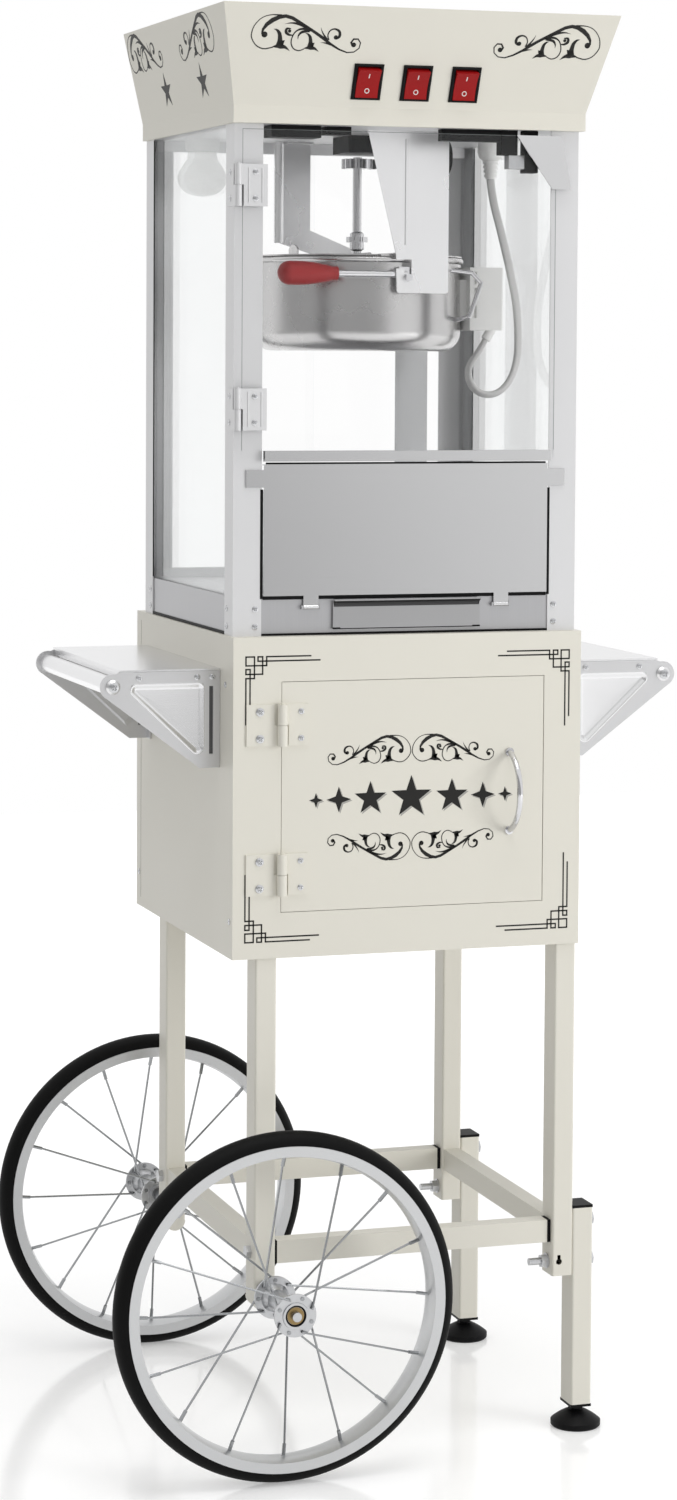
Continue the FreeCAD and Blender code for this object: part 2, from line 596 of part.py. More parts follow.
# Corner posts: folded angles from the cart top into the roof band
def corner_post(side, front):
    edge, inner = (MACHINE_F, 1) if front else (MACHINE_B, -1)
    corners = [(HALF_W, edge), (HALF_W - POST, edge), (HALF_W - POST, edge + inner * SHEET),
               (HALF_W - SHEET, edge + inner * SHEET), (HALF_W - SHEET, edge + inner * POST),
               (HALF_W, edge + inner * POST)]
    return plate_xy(CART_Z1, KNEE_Z, *[(side * x, y) for x, y in corners])


save("corner_posts", *[corner_post(s, f) for s in (-1, 1) for f in (True, False)])


def side_pane(side):
    x0, x1 = sorted((side * (HALF_W - 2), side * (HALF_W - 6)))
    return box(x0, x1, MACHINE_F + 4, MACHINE_B - 4, BASE_TOP, ROOF_Z0)


save("side_glass", side_pane(-1), side_pane(1))


# Roof: a straight band, then a flare at the front and sides; the back stays upright
def roof_ring(z, out, front):
    half = BAND_HALF + out
    corners = [V(-half, BAND_F - front, z), V(half, BAND_F - front, z), V(half, BAND_B, z), V(-half, BAND_B, z)]
    return Part.makePolygon(corners + corners[:1])


def roof_solid(inset):
    """The roof's outer form, or its hollow when inset is the sheet thickness."""
    rings = []
    for z, out, front in ((ROOF_Z0, 0, 0), (KNEE_Z, 0, 0), (ROOF_TOP - inset, FLARE_SIDE, FLARE_FRONT)):
        rings.append(roof_ring(z, out - inset, front - inset))
    band = Part.makeLoft(rings[:2], True, True)
    return band.fuse(Part.makeLoft(rings[1:], True, True)).removeSplitter()


SLOPE = V(0, -FLARE_FRONT, ROOF_TOP - KNEE_Z).normalize()
OUTWARD = V(1, 0, 0).cross(SLOPE)


def on_roof(piece, x):
    """Moves a piece drawn flat (X across, Y up the slope, Z outwards) onto the roof's front face."""
    m = FreeCAD.Matrix(1, SLOPE.x, OUTWARD.x, x, 0, SLOPE.y, OUTWARD.y, BAND_F,
                       0, SLOPE.z, OUTWARD.z, KNEE_Z, 0, 0, 0, 1)
    return piece.transformGeometry(m)


def roof_canopy():
    hollow = roof_solid(SHEET).cut(box(-300, 300, BAND_B - SHEET, 300, 0, 2000))
    skin = roof_solid(0).cut(hollow)
    lip = roof_ring(ROOF_Z0, 0, 0)
    lip = Part.Face(lip).extrude(V(0, 0, 2))
    lip = lip.cut(box(-HALF_W, HALF_W, MACHINE_F, MACHINE_B, 0, 2000))
    skin = skin.fuse(lip)
    holes = [on_roof(box(-15, 15, SWITCH_UP - 19, SWITCH_UP + 19, -10, 10), x) for x in SWITCH_X]
    return skin.cut(holes).removeSplitter()


save("roof_canopy", roof_canopy())


def roof_deck():
    half = HALF_W - 1.6
    return box(-half, half, MACHINE_F + 1.6, MACHINE_B - 1.6, ROOF_Z0, ROOF_Z0 + 2)


save("roof_deck", roof_deck())


# Rocker switches: a bezel with its case behind the sheet, and the rocker, pressed in at its lower half
def switch_bezel():
    w, h, mid = BEZEL_W / 2, BEZEL_H / 2, SWITCH_UP
    rim = box(-w, w, mid - h, mid + h, 0, 2.5)
    top = [e for e in rim.Edges if all(abs(v.Z - 2.5) < 1e-6 for v in e.Vertexes)]
    rim = rim.makeChamfer(1.2, top)
    case = box(-14.6, 14.6, mid - 18.6, mid + 18.6, -20, 0)
    well = box(-ROCKER_W / 2 - 0.6, ROCKER_W / 2 + 0.6, mid - 17.6, mid + 17.6, -13, 5)
    pin = rod((-20, mid, ROCKER_PIVOT), (20, mid, ROCKER_PIVOT), ROCKER_PIN_R + 0.06)
    return rim.fuse(case).cut([well, pin])


def switch_rocker():
    half, ends = ROCKER_HALF, 5.5
    side = outline(lambda v, n: V(-ROCKER_W / 2, v, n), (-half, -5), (-half, ends), ((0, 3.0), (half, ends)),
                   (half, -5), (9, -9), (-9, -9))
    rocker = Part.Face(side).extrude(V(ROCKER_W, 0, 0))
    rocker = rocker.fuse(rod((-14.3, 0, ROCKER_PIVOT), (14.3, 0, ROCKER_PIVOT), ROCKER_PIN_R))
    rocker.rotate(V(0, 0, ROCKER_PIVOT), V(1, 0, 0), ROCKER_TILT)
    rocker.translate(V(0, SWITCH_UP, 0))
    return rocker


save("switch_bezels", *[on_roof(switch_bezel(), x) for x in SWITCH_X])
for label, switch_x in zip(("left", "middle", "right"), SWITCH_X):
    save("rocker_" + label, on_roof(switch_rocker(), switch_x))


# Glass door with its hinges, bottom rail and catch plate
def door_glass():
    x0, x1, z0, z1 = GLASS
    return box(x0, x1, GLASS_Y0, GLASS_Y1, z0, z1)


save("door_glass", door_glass())


def door_trim():
    x0, x1, z0, z1 = GLASS
    rail_half = HALF_W - POST - 1
    rail = box(-rail_half, rail_half, GLASS_Y0 - 1.5, GLASS_Y1 + 1.5, z0 - 2.5, z0 + 9)
    rail = rail.cut(box(-rail_half - 1, rail_half + 1, GLASS_Y0, GLASS_Y1, z0, z0 + 20))
    catch = plate_xz(GLASS_Y0 - 2, GLASS_Y0, (121, z1), (174, z1), (185, 1383), (163.5, 1383))
    return rail, catch


save("door_trim", *door_trim())


def glass_hinge(middle):
    """The post's leaf lies on its side face; the door's leaf lies on the glass and has two pressed ridges."""
    low, high = middle - HINGE_H / 2, middle + HINGE_H / 2
    x, y, face = GLASS_HINGE_X, GLASS_HINGE_Y, GLASS_Y0
    fixed = box(-HALF_W - 2, -HALF_W, y, y + 30, low, high)
    moving = box(x, x + 33, face - 2, face, low, high)
    for ridge in (x + 12, x + 27):
        moving = moving.fuse(rod((ridge, face - 2, low + 4), (ridge, face - 2, high - 4), 0.9))
    return lift_off_hinge(x, y, 3.8, 1.8, middle, fixed, moving)


GLASS_HINGES = [glass_hinge(z) for z in GLASS_HINGE_Z]
save("door_hinge_fixed", *[h[0] for h in GLASS_HINGES])
save("door_hinge_moving", *[h[1] for h in GLASS_HINGES])


# Serving panel: a sheet with shoulders on the posts, folded edges and two feet that it tips on
def serving_panel():
    y0, y1 = MACHINE_F - 2, MACHINE_F - 0.4
    half, z0, z1 = PANEL_HALF, PANEL_Z0, PANEL_Z1
    shoulder = HALF_W - 14
    outer = [(-half, z0), (half, z0), (half, z1 - 25), (shoulder, z1 - 25), (shoulder, z1 - 6), (half, z1 - 6),
             (half, z1), (-half, z1), (-half, z1 - 6), (-shoulder, z1 - 6), (-shoulder, z1 - 25), (-half, z1 - 25)]
    sheet = plate_xz(y0, y1, *outer)
    for side in (-1, 1):
        x0, x1 = sorted((side * half, side * (half - SHEET)))
        sheet = sheet.fuse(box(x0, x1, y1, y1 + 12, z0 + 4, z1 - 28))
        a, b = side * PANEL_FOOT_X - PANEL_FOOT_W / 2, side * PANEL_FOOT_X + PANEL_FOOT_W / 2
        axis = ((a, PANEL_AXIS_Y, PANEL_AXIS_Z), (b, PANEL_AXIS_Y, PANEL_AXIS_Z))
        sheet = sheet.fuse([box(a, b, y0, y1, PANEL_AXIS_Z, z0), rod(*axis, 2.2)])
        sheet = sheet.cut(rod(*axis, PANEL_PIN_R + 0.06))
    sheet = sheet.fuse(box(-half, half, y1, y1 + 6, z1 - SHEET, z1))
    return sheet.fuse(box(-half, half, y1, y1 + 10, z0, z0 + SHEET)).removeSplitter()


save("serving_panel", serving_panel())

REAR_LANES = ((161.5, 164.5), (167.5, 170.5))


# Rear panes slide past each other in two grooved tracks
def rear_track(z0, z1, groove0, groove1):
    half = HALF_W - 7
    bar = box(-half, half, 158.5, 173, z0, z1)
    for y0, y1 in REAR_LANES:
        bar = bar.cut(box(-half - 1, half + 1, y0 - 0.4, y1 + 0.4, groove0, groove1))
    return bar


def rear_pane(side, lane):
    x0, x1 = sorted((side * (HALF_W - 8), -side * 6))
    pane = box(x0, x1, lane[0], lane[1], BASE_TOP + 3, ROOF_Z0 - 4)
    return pane.cut(rod((side * 140, lane[0] - 1, 1190), (side * 140, lane[1] + 1, 1190), 13))


save("rear_tracks", rear_track(BASE_TOP, BASE_TOP + 10, BASE_TOP + 2, BASE_TOP + 20),
     rear_track(ROOF_Z0 - 12, ROOF_Z0, ROOF_Z0 - 20, ROOF_Z0 - 2))
save("rear_door_left", rear_pane(-1, REAR_LANES[1]))
save("rear_door_right", rear_pane(1, REAR_LANES[0]))


# Kettle: a spun pot with a rounded foot and rolled rim, a spigot for the stirrer, and a lid bar
def kettle_pot():
    r, z0, z1 = KETTLE_R, KETTLE_Z0, KETTLE_Z1
    pot = spun_z(KETTLE_X, 0, (0, z0), (r - 22, z0), ((r - 6.5, z0 + 6.5), (r, z0 + 22)), (r, z1 - 7),
                 ((r + 3, z1 - 3.5), (r, z1)), (r - 2, z1), (r - 2, z0 + 24),
                 ((r - 7.6, z0 + 10.6), (r - 21, z0 + 5)), (9, z0 + 5), (9, z0 + 8), (4, z0 + 8),
                 (4, z0 + 19), (0, z0 + 19))
    bar = box(KETTLE_X - 11, KETTLE_X + 11, -r, r, z1, z1 + 2.5)
    bar = bar.cut(rod((KETTLE_X, 0, z1 - 1), (KETTLE_X, 0, z1 + 5), 8))
    return pot.fuse(bar)


save("kettle_pot", kettle_pot())

LID_EDGE, LID_GAP = 12.5, 0.4


def kettle_lid(side):
    """Half a disc that rests on the rim, with a curl along its hinge edge."""
    z = KETTLE_Z1 + LID_GAP
    disc = Part.makeCylinder(KETTLE_R + 1, 1.6, V(KETTLE_X, 0, z))
    curl_x = KETTLE_X + side * (LID_EDGE + 2)
    x0, x1 = sorted((curl_x, KETTLE_X + side * 200))
    half = disc.common(box(x0, x1, -200, 200, z - 1, z + 5))
    half = half.fuse(rod((curl_x, -90, z + 2), (curl_x, 90, z + 2), 2))
    knob_x = KETTLE_X + side * 74
    tab = outline(lambda y, h: V(knob_x, y, h), (-16, z + 1), (-16, z + 9), ((0, z + 14), (16, z + 9)), (16, z + 1))
    return half.fuse(Part.Face(tab).extrude(V(side * 2, 0, 0)))


save("kettle_lid_left", kettle_lid(-1))
save("kettle_lid_right", kettle_lid(1))


def kettle_arm():
    """Chrome arm from the front trunnion to the grip, the rear trunnion, and the plug's latch wire."""
    arm = rod((GRIP_X0 + 12, ARM_Y, ARM_Z), (PIVOT_X, ARM_Y, ARM_Z), ARM_R)
    arm = arm.fuse(rod((PIVOT_X, -116, PIVOT_Z), (PIVOT_X, -HANGER_Y - 8, PIVOT_Z), TRUNNION_R))
    wall = math.sqrt(KETTLE_R ** 2 - (PIVOT_X - KETTLE_X) ** 2)
    arm = arm.fuse(box(PIVOT_X - 9, PIVOT_X + 9, ARM_Y - 3, -wall + 1, PIVOT_Z - 9, PIVOT_Z + 12))
    rear = rod((PIVOT_X, 116, PIVOT_Z), (PIVOT_X, HANGER_Y + 8, PIVOT_Z), TRUNNION_R)
    rear = rear.fuse(box(PIVOT_X - 9, PIVOT_X + 9, wall - 1, -ARM_Y + 3, PIVOT_Z - 9, PIVOT_Z + 12))
    bends = [(86, -80, 1296), (112, -84, 1293), (122, -86, 1282), (108, -86, 1244), (99, -66, 1240)]
    latch = rod(bends[0], bends[1], 2.5)
    for a, b in zip(bends[1:], bends[2:]):
        latch = latch.fuse([Part.makeSphere(2.5, V(*a)), rod(a, b, 2.5)])
    pot = Part.makeCylinder(KETTLE_R, 400, V(KETTLE_X, 0, 1100))
    return [piece.cut(pot) for piece in (arm, rear, latch)]


save("kettle_arm", *kettle_arm())


def handle_grip():
    """A turned grip: round end, slim waist, and a collar towards the kettle."""
    end, neck = GRIP_X0, GRIP_X1
    wire = outline(lambda x, r: V(x, 0, r), (end, 0), ((end + 4, 9.5), (end + 14, 13.2)),
                   ((end + 38, 12.2), (neck - 6, 7.6)), (neck, 7.6), (neck, ARM_R), (end + 12, ARM_R), (end + 12, 0))
    grip = Part.Face(wire).revolve(V(0, 0, 0), V(1, 0, 0), 360)
    grip.translate(V(0, ARM_Y, ARM_Z))
    return grip


save("handle_grip", handle_grip())


def kettle_socket():
    """Power socket housing on the pot's side, with cooling slots and a cord gland below."""
    x0, x1, y0, y1, z0, z1 = SOCKET
    case = box(x0, x1, y0, y1, z0, z1)
    case = case.makeFillet(3, [e for e in case.Edges if e.BoundBox.XMin > x0 + 1])
    neck = box(100, x0, y0 + 12, y1 - 8, z0 + 14, z1 - 14)
    pot = Part.makeCylinder(KETTLE_R, 400, V(KETTLE_X, 0, 1100))
    slots = [box(x0 + 5, x0 + 8, y0 - 1, y0 + 3, z, z + 14) for z in (z0 + 14, z0 + 34, z0 + 52)]
    cord_end, gland_end = V(*CORD_ROUTE[-1]), V(*GLAND_TOP)
    mouth = cord_end + (gland_end - cord_end).normalize() * 0.3
    gland = rod(mouth, gland_end, CORD_R + 2)
    gland = gland.cut(box(0, 300, -200, 200, z0 + 2, 1400))
    return case.cut(slots).fuse([neck, gland]).cut(pot)


save("kettle_socket", kettle_socket())


# Hangers: plates from the ceiling with a J-shaped hook that the trunnions drop into
def hook_slot(y0, y1):
    x, z, r = PIVOT_X, PIVOT_Z, TRUNNION_R + 0.06
    slot = rod((x, y0, z), (x, y1, z), r)
    slot = slot.fuse(box(x - r, x + r, y0, y1, z, z + 20))
    return slot.fuse(box(-60, x, y0, y1, z + 10, z + 20))


def front_hanger():
    y0, y1 = -HANGER_Y - 2, -HANGER_Y
    right, foot = 67, 1269
    plate = plate_xz(y0, y1, (-27, ROOF_Z0), (right, ROOF_Z0), (right, foot + 4), ((right - 1, foot + 1),
                     (right - 4, foot)), (11, foot), ((8, foot + 1), (7, foot + 4)), (6, 1312))
    plate = plate.fuse(box(right - 2, right, y0, y1 + 8, foot + 4, ROOF_Z0))
    plate = plate.fuse(rod((17, y0 + 0.5, 1322), (17, y0 + 0.5, 1438), 1.4))
    flange = box(-23, right - 2, y1, y1 + 14, ROOF_Z0 - 2, ROOF_Z0)
    return plate.fuse(flange).removeSplitter().cut(hook_slot(y0 - 3, y1 + 1))


def rear_hanger():
    """The rear plate has its left edge rolled into a tube."""
    y0, y1 = HANGER_Y, HANGER_Y + 2
    plate = plate_xz(y0, y1, (-50.6, ROOF_Z0), (-12.5, ROOF_Z0), (-12.5, 1345), (44, 1322), (44, 1269), (7, 1269),
                     (6, 1312), (-50.6, 1330))
    flange = box(-44, -12.5, y1 - 14, y1, ROOF_Z0 - 2, ROOF_Z0)
    roll = rod((-50.6, y0 + 1, 1330), (-50.6, y0 + 1, ROOF_Z0), 5.8)
    return plate.fuse([flange, roll]).cut(hook_slot(y0 - 1, y1 + 1))


save("kettle_hangers", front_hanger(), rear_hanger())


# Stirrer: hub on the kettle's spigot, two swept paddles, shaft with a collar up to its gear
def stirrer():
    z0 = KETTLE_Z0 + 8.6
    shaft = spun_z(KETTLE_X, 0, (4.06, z0), (11, z0), (11, z0 + 15), (5, z0 + 20), (5, 1318), (8, 1320), (8, 1328),
                   (12, 1328), (12, 1334), (8, 1334), (8, 1338), (5, 1340), (5, GEAR_Z1 + 2), (0, GEAR_Z1 + 2),
                   (0, KETTLE_Z0 + 20), (4.06, KETTLE_Z0 + 20))
    for side in (-1, 1):
        bends = [(KETTLE_X + side * 6, 0, z0 + 6), (KETTLE_X + side * 60, side * 18, z0 + 6),
                 (KETTLE_X + side * 98, side * 8, z0 + 6), (KETTLE_X + side * 103, side * 6, z0 + 24)]
        for a, b in zip(bends, bends[1:]):
            shaft = shaft.fuse([rod(a, b, 3), Part.makeSphere(3, V(*b))])
    return shaft


save("stirrer", stirrer())


def spur_gear(x, teeth, bore, phase):
    """A gear with straight-sided teeth; phase turns its first tooth away from +X."""
    pitch = GEAR_MODULE * teeth / 2
    root, tip = pitch - 1.2 * GEAR_MODULE, pitch + 0.9 * GEAR_MODULE
    quarter = 360 / teeth / 4
    corners = []
    for k in range(teeth):
        middle = 360 / teeth * k + phase
        for r, away in ((root, -1.22), (tip, -0.42), (tip, 0.42), (root, 1.22)):
            a = math.radians(middle + away * quarter)
            corners.append(V(x + r * math.cos(a), r * math.sin(a), GEAR_Z0))
    blank = Part.Face(Part.makePolygon(corners + corners[:1])).extrude(V(0, 0, GEAR_Z1 - GEAR_Z0))
    return blank.cut(Part.makeCylinder(bore, 100, V(x, 0, GEAR_Z0 - 50)))


save("stirrer_gear", spur_gear(KETTLE_X, STIR_TEETH, 5, 0))
DRIVE_SHAFT_R = 4.0
DRIVE_GEAR = spur_gear(DRIVE_X, DRIVE_TEETH, 1, 180 / DRIVE_TEETH)
save("drive_gear", DRIVE_GEAR.fuse(rod((DRIVE_X, 0, GEAR_Z1), (DRIVE_X, 0, GEAR_Z1 + 16), DRIVE_SHAFT_R)))


def drive_motor():
    """Gear case under the ceiling with a round motor can beside it."""
    case = box(KETTLE_X - 20, DRIVE_X + 30, -32, 32, GEAR_Z1 + 6, ROOF_Z0)
    case = case.makeFillet(4, [e for e in case.Edges if abs(e.Vertexes[0].Z - e.Vertexes[-1].Z) > 1])
    can = rod((DRIVE_X + 30, 6, GEAR_Z1 + 4), (DRIVE_X + 82, 6, GEAR_Z1 + 4), 20)
    can = can.common(box(0, 300, -100, 100, 1300, ROOF_Z0))
    bore = rod((DRIVE_X, 0, GEAR_Z1), (DRIVE_X, 0, GEAR_Z1 + 17), DRIVE_SHAFT_R + 0.06)
    return case.cut(bore), can


save("drive_motor", *drive_motor())


# Lamp, and the kettle cord with its ceiling plug
def lamp_bulb():
    z = 1381
    return spun_z(LAMP_X, LAMP_Y, (0, z), ((17.7, z + 7.3), (25, z + 25)), ((21.5, z + 38), (14, z + 48)),
                  (13, z + 52), (0, z + 52))


save("lamp_bulb", lamp_bulb())
save("lamp_socket", spun_z(LAMP_X, LAMP_Y, (0, 1433), (18, 1433), (20, 1437), (20, ROOF_Z0), (0, ROOF_Z0)))


def cord_path():
    """Straight runs joined by tangent arcs, each arc as large as its two runs allow."""
    points = [V(*p) for p in CORD_ROUTE]
    edges = []
    radii = []
    here = points[0]
    for before, corner, after in zip(points, points[1:], points[2:]):
        come, go = (corner - before), (after - corner)
        short = 0.45 * min(come.Length, go.Length)
        come, go = come.normalize(), go.normalize()
        turn = come.getAngle(go)
        radius = short / math.tan(turn / 2)
        start, end = corner - come * short, corner + go * short
        inward = (go - come).normalize()
        middle = corner + inward * (radius / math.cos(turn / 2) - radius)
        edges += [Part.LineSegment(here, start).toShape(), Part.Arc(start, middle, end).toShape()]
        radii.append(radius)
        here = end
    edges.append(Part.LineSegment(here, points[-1]).toShape())
    return Part.Wire(edges), radii


def kettle_cord():
    path, radii = cord_path()
    first, second = V(*CORD_ROUTE[0]), V(*CORD_ROUTE[1])
    ring = Part.Wire(Part.makeCircle(CORD_R, first, second - first))
    tube = path.makePipeShell([ring], True, True)
    plain = math.pi * CORD_R ** 2 * path.Length
    print("cord radii", [round(r, 1) for r in radii])
    print("cord length", round(path.Length, 1), "volume ratio", round(tube.Volume / plain, 4))
    return tube


save("kettle_cord", kettle_cord())


def cord_plug():
    """Moulded plug with a ribbed strain relief that the cord hangs from."""
    x, y, z = CORD_ROUTE[0]
    profile = [(0, z), (6, z)]
    for k in range(4):
        low = z + 2 + 5 * k
        profile += [(6 + 0.5 * k, low), (7.5 + 0.5 * k, low), (7.5 + 0.5 * k, low + 3), (6.5 + 0.5 * k, low + 3)]
    profile += [(13, z + 24), (15, z + 30), (15, ROOF_Z0), (0, ROOF_Z0)]
    return spun_z(x, y, *profile)


save("cord_plug", cord_plug())
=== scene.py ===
# %% [markdown]
# # A popcorn machine on its cart
# The solids come from the imported model and already stand in the right place, in metres.
# This lesson dresses them: it adds the camera, the light, the loose cord, the printed ornament and
# the small fasteners, and gives every piece a finish. The box of the bare solids is kept for the end,
# where it is written out beside the box of the dressed object.

# %% Load the solids
import json
import math

import bmesh
import bpy
import numpy as np
from mathutils import Matrix, Vector
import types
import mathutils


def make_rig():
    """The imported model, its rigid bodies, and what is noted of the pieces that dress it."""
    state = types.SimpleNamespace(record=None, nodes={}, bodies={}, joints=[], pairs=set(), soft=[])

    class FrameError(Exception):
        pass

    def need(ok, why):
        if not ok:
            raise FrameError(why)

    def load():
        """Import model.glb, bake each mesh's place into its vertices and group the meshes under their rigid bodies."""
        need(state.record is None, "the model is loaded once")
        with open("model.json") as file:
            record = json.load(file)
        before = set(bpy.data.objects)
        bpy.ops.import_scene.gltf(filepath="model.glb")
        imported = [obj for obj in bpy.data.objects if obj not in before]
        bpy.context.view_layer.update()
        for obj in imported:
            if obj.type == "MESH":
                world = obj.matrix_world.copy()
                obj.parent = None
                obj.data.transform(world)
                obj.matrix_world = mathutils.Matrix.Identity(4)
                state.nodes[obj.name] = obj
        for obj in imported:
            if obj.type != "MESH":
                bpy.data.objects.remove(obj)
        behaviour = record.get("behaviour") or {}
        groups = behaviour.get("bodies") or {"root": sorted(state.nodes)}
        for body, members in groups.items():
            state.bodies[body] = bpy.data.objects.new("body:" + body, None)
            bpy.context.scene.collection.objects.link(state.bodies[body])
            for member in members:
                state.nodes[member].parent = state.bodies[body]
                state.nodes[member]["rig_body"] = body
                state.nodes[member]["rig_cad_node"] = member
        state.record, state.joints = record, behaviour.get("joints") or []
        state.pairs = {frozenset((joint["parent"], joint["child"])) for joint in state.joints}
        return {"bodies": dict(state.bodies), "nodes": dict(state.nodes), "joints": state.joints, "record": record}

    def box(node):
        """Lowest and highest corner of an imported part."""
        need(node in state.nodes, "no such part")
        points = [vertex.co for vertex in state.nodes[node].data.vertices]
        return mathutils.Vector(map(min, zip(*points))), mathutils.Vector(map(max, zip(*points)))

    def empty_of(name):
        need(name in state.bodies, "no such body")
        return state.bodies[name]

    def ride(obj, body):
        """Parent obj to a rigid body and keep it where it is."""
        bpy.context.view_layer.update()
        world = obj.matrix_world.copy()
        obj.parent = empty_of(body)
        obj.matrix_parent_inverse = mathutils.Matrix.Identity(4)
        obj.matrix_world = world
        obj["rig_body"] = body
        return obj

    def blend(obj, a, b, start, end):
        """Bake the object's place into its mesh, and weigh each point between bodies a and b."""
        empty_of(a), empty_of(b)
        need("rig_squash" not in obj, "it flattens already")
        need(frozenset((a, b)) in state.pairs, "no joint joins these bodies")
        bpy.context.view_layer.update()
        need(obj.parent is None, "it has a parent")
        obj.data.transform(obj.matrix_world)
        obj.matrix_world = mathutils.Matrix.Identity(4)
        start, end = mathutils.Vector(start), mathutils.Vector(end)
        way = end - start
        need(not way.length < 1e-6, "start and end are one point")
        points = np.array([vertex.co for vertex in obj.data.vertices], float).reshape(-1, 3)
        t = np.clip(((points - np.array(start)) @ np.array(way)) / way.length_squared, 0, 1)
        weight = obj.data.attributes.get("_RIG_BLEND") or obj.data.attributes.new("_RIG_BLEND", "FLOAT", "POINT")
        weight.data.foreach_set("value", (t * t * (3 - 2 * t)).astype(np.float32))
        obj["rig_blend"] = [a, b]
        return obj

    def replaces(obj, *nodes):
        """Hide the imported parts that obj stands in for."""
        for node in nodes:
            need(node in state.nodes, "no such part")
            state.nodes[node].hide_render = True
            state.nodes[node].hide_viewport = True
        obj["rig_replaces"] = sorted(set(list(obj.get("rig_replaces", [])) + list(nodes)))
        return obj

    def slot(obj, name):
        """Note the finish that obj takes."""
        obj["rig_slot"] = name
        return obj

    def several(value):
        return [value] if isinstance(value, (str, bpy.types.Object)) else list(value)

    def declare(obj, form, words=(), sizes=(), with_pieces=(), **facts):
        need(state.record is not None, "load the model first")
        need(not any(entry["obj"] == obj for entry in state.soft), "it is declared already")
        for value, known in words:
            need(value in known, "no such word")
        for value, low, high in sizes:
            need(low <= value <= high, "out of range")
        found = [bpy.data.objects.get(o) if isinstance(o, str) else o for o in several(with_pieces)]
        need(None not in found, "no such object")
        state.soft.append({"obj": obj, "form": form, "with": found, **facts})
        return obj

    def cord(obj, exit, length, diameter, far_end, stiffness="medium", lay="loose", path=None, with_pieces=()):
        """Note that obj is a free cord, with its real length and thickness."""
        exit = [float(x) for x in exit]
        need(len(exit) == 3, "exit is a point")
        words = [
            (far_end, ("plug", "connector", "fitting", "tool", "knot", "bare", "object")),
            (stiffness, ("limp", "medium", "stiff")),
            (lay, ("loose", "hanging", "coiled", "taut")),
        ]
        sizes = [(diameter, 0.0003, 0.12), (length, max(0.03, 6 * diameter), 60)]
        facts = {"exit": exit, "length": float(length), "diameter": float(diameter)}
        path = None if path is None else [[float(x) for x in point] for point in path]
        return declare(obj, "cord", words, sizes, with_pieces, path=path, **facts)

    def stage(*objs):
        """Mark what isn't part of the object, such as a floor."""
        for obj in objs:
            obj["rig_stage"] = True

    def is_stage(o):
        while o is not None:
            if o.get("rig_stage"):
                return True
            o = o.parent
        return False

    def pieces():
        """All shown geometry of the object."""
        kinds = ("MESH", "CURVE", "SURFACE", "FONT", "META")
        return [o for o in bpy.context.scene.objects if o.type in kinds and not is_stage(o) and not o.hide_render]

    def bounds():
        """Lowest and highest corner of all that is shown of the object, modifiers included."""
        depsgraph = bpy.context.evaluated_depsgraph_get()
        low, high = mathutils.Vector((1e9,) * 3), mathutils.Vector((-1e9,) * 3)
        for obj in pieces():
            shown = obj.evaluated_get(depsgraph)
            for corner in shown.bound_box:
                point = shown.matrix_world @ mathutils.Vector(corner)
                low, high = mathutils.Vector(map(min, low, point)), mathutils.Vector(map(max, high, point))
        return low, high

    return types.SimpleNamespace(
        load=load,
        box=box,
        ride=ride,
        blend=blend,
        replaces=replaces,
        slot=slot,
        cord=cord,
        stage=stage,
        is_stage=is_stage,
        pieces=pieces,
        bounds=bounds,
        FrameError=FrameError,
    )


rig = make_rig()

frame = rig.load()
CAD_BOX = [list(corner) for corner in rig.bounds()]
print("solids", len(frame["nodes"]), "box", np.round(CAD_BOX, 3).tolist())

# %% [markdown]
# ## Camera
# The photograph was taken from the left of the front, a little under the height of the glass, with a
# long lens. Position, turn and tilt were found by matching known edges of the machine, so they are
# plain numbers here. The picture was cropped low, which a small vertical shift of the lens repeats.

# %% Camera
CAMERA_AT = Vector((-1.239, -3.7805, 1.2078))
CAMERA_YAW, CAMERA_PITCH, CAMERA_ROLL = 0.3146, -0.0562, 0.0058
FOCAL_PIXELS, PICTURE_HEIGHT, CENTRE_ROW = 3495.5, 1500, 545


def aim_camera():
    """Turns the camera to the given yaw from +Y and pitch, then rolls it about its axis."""
    data = bpy.data.cameras.new("photo_camera")
    camera = bpy.data.objects.new("photo_camera", data)
    bpy.context.scene.collection.objects.link(camera)
    cos_p = math.cos(CAMERA_PITCH)
    ahead = Vector((math.sin(CAMERA_YAW) * cos_p, math.cos(CAMERA_YAW) * cos_p, math.sin(CAMERA_PITCH)))
    right = Vector((math.cos(CAMERA_YAW), -math.sin(CAMERA_YAW), 0))
    up = right.cross(ahead)
    c, s = math.cos(CAMERA_ROLL), math.sin(CAMERA_ROLL)
    right, up = c * right + s * up, c * up - s * right
    turn = Matrix((right, up, -ahead)).transposed()
    camera.matrix_world = Matrix.Translation(CAMERA_AT) @ turn.to_4x4()
    data.sensor_width = 36
    data.lens = FOCAL_PIXELS / PICTURE_HEIGHT * data.sensor_width
    data.shift_y = (CENTRE_ROW - PICTURE_HEIGHT / 2) / PICTURE_HEIGHT
    data.clip_end = 50
    bpy.context.scene.camera = camera
    return camera


camera = aim_camera()
print("lens", round(camera.data.lens, 1), "mm, shift", round(camera.data.shift_y, 3))

# %% [markdown]
# ## Writing shaders as sums
# A finish is a small calculation done at every point of a surface. Wrapping a node's output in a
# class with its own +, -, * and ** lets that calculation be written as one line of Python, and each
# operator adds the Math node that does it.


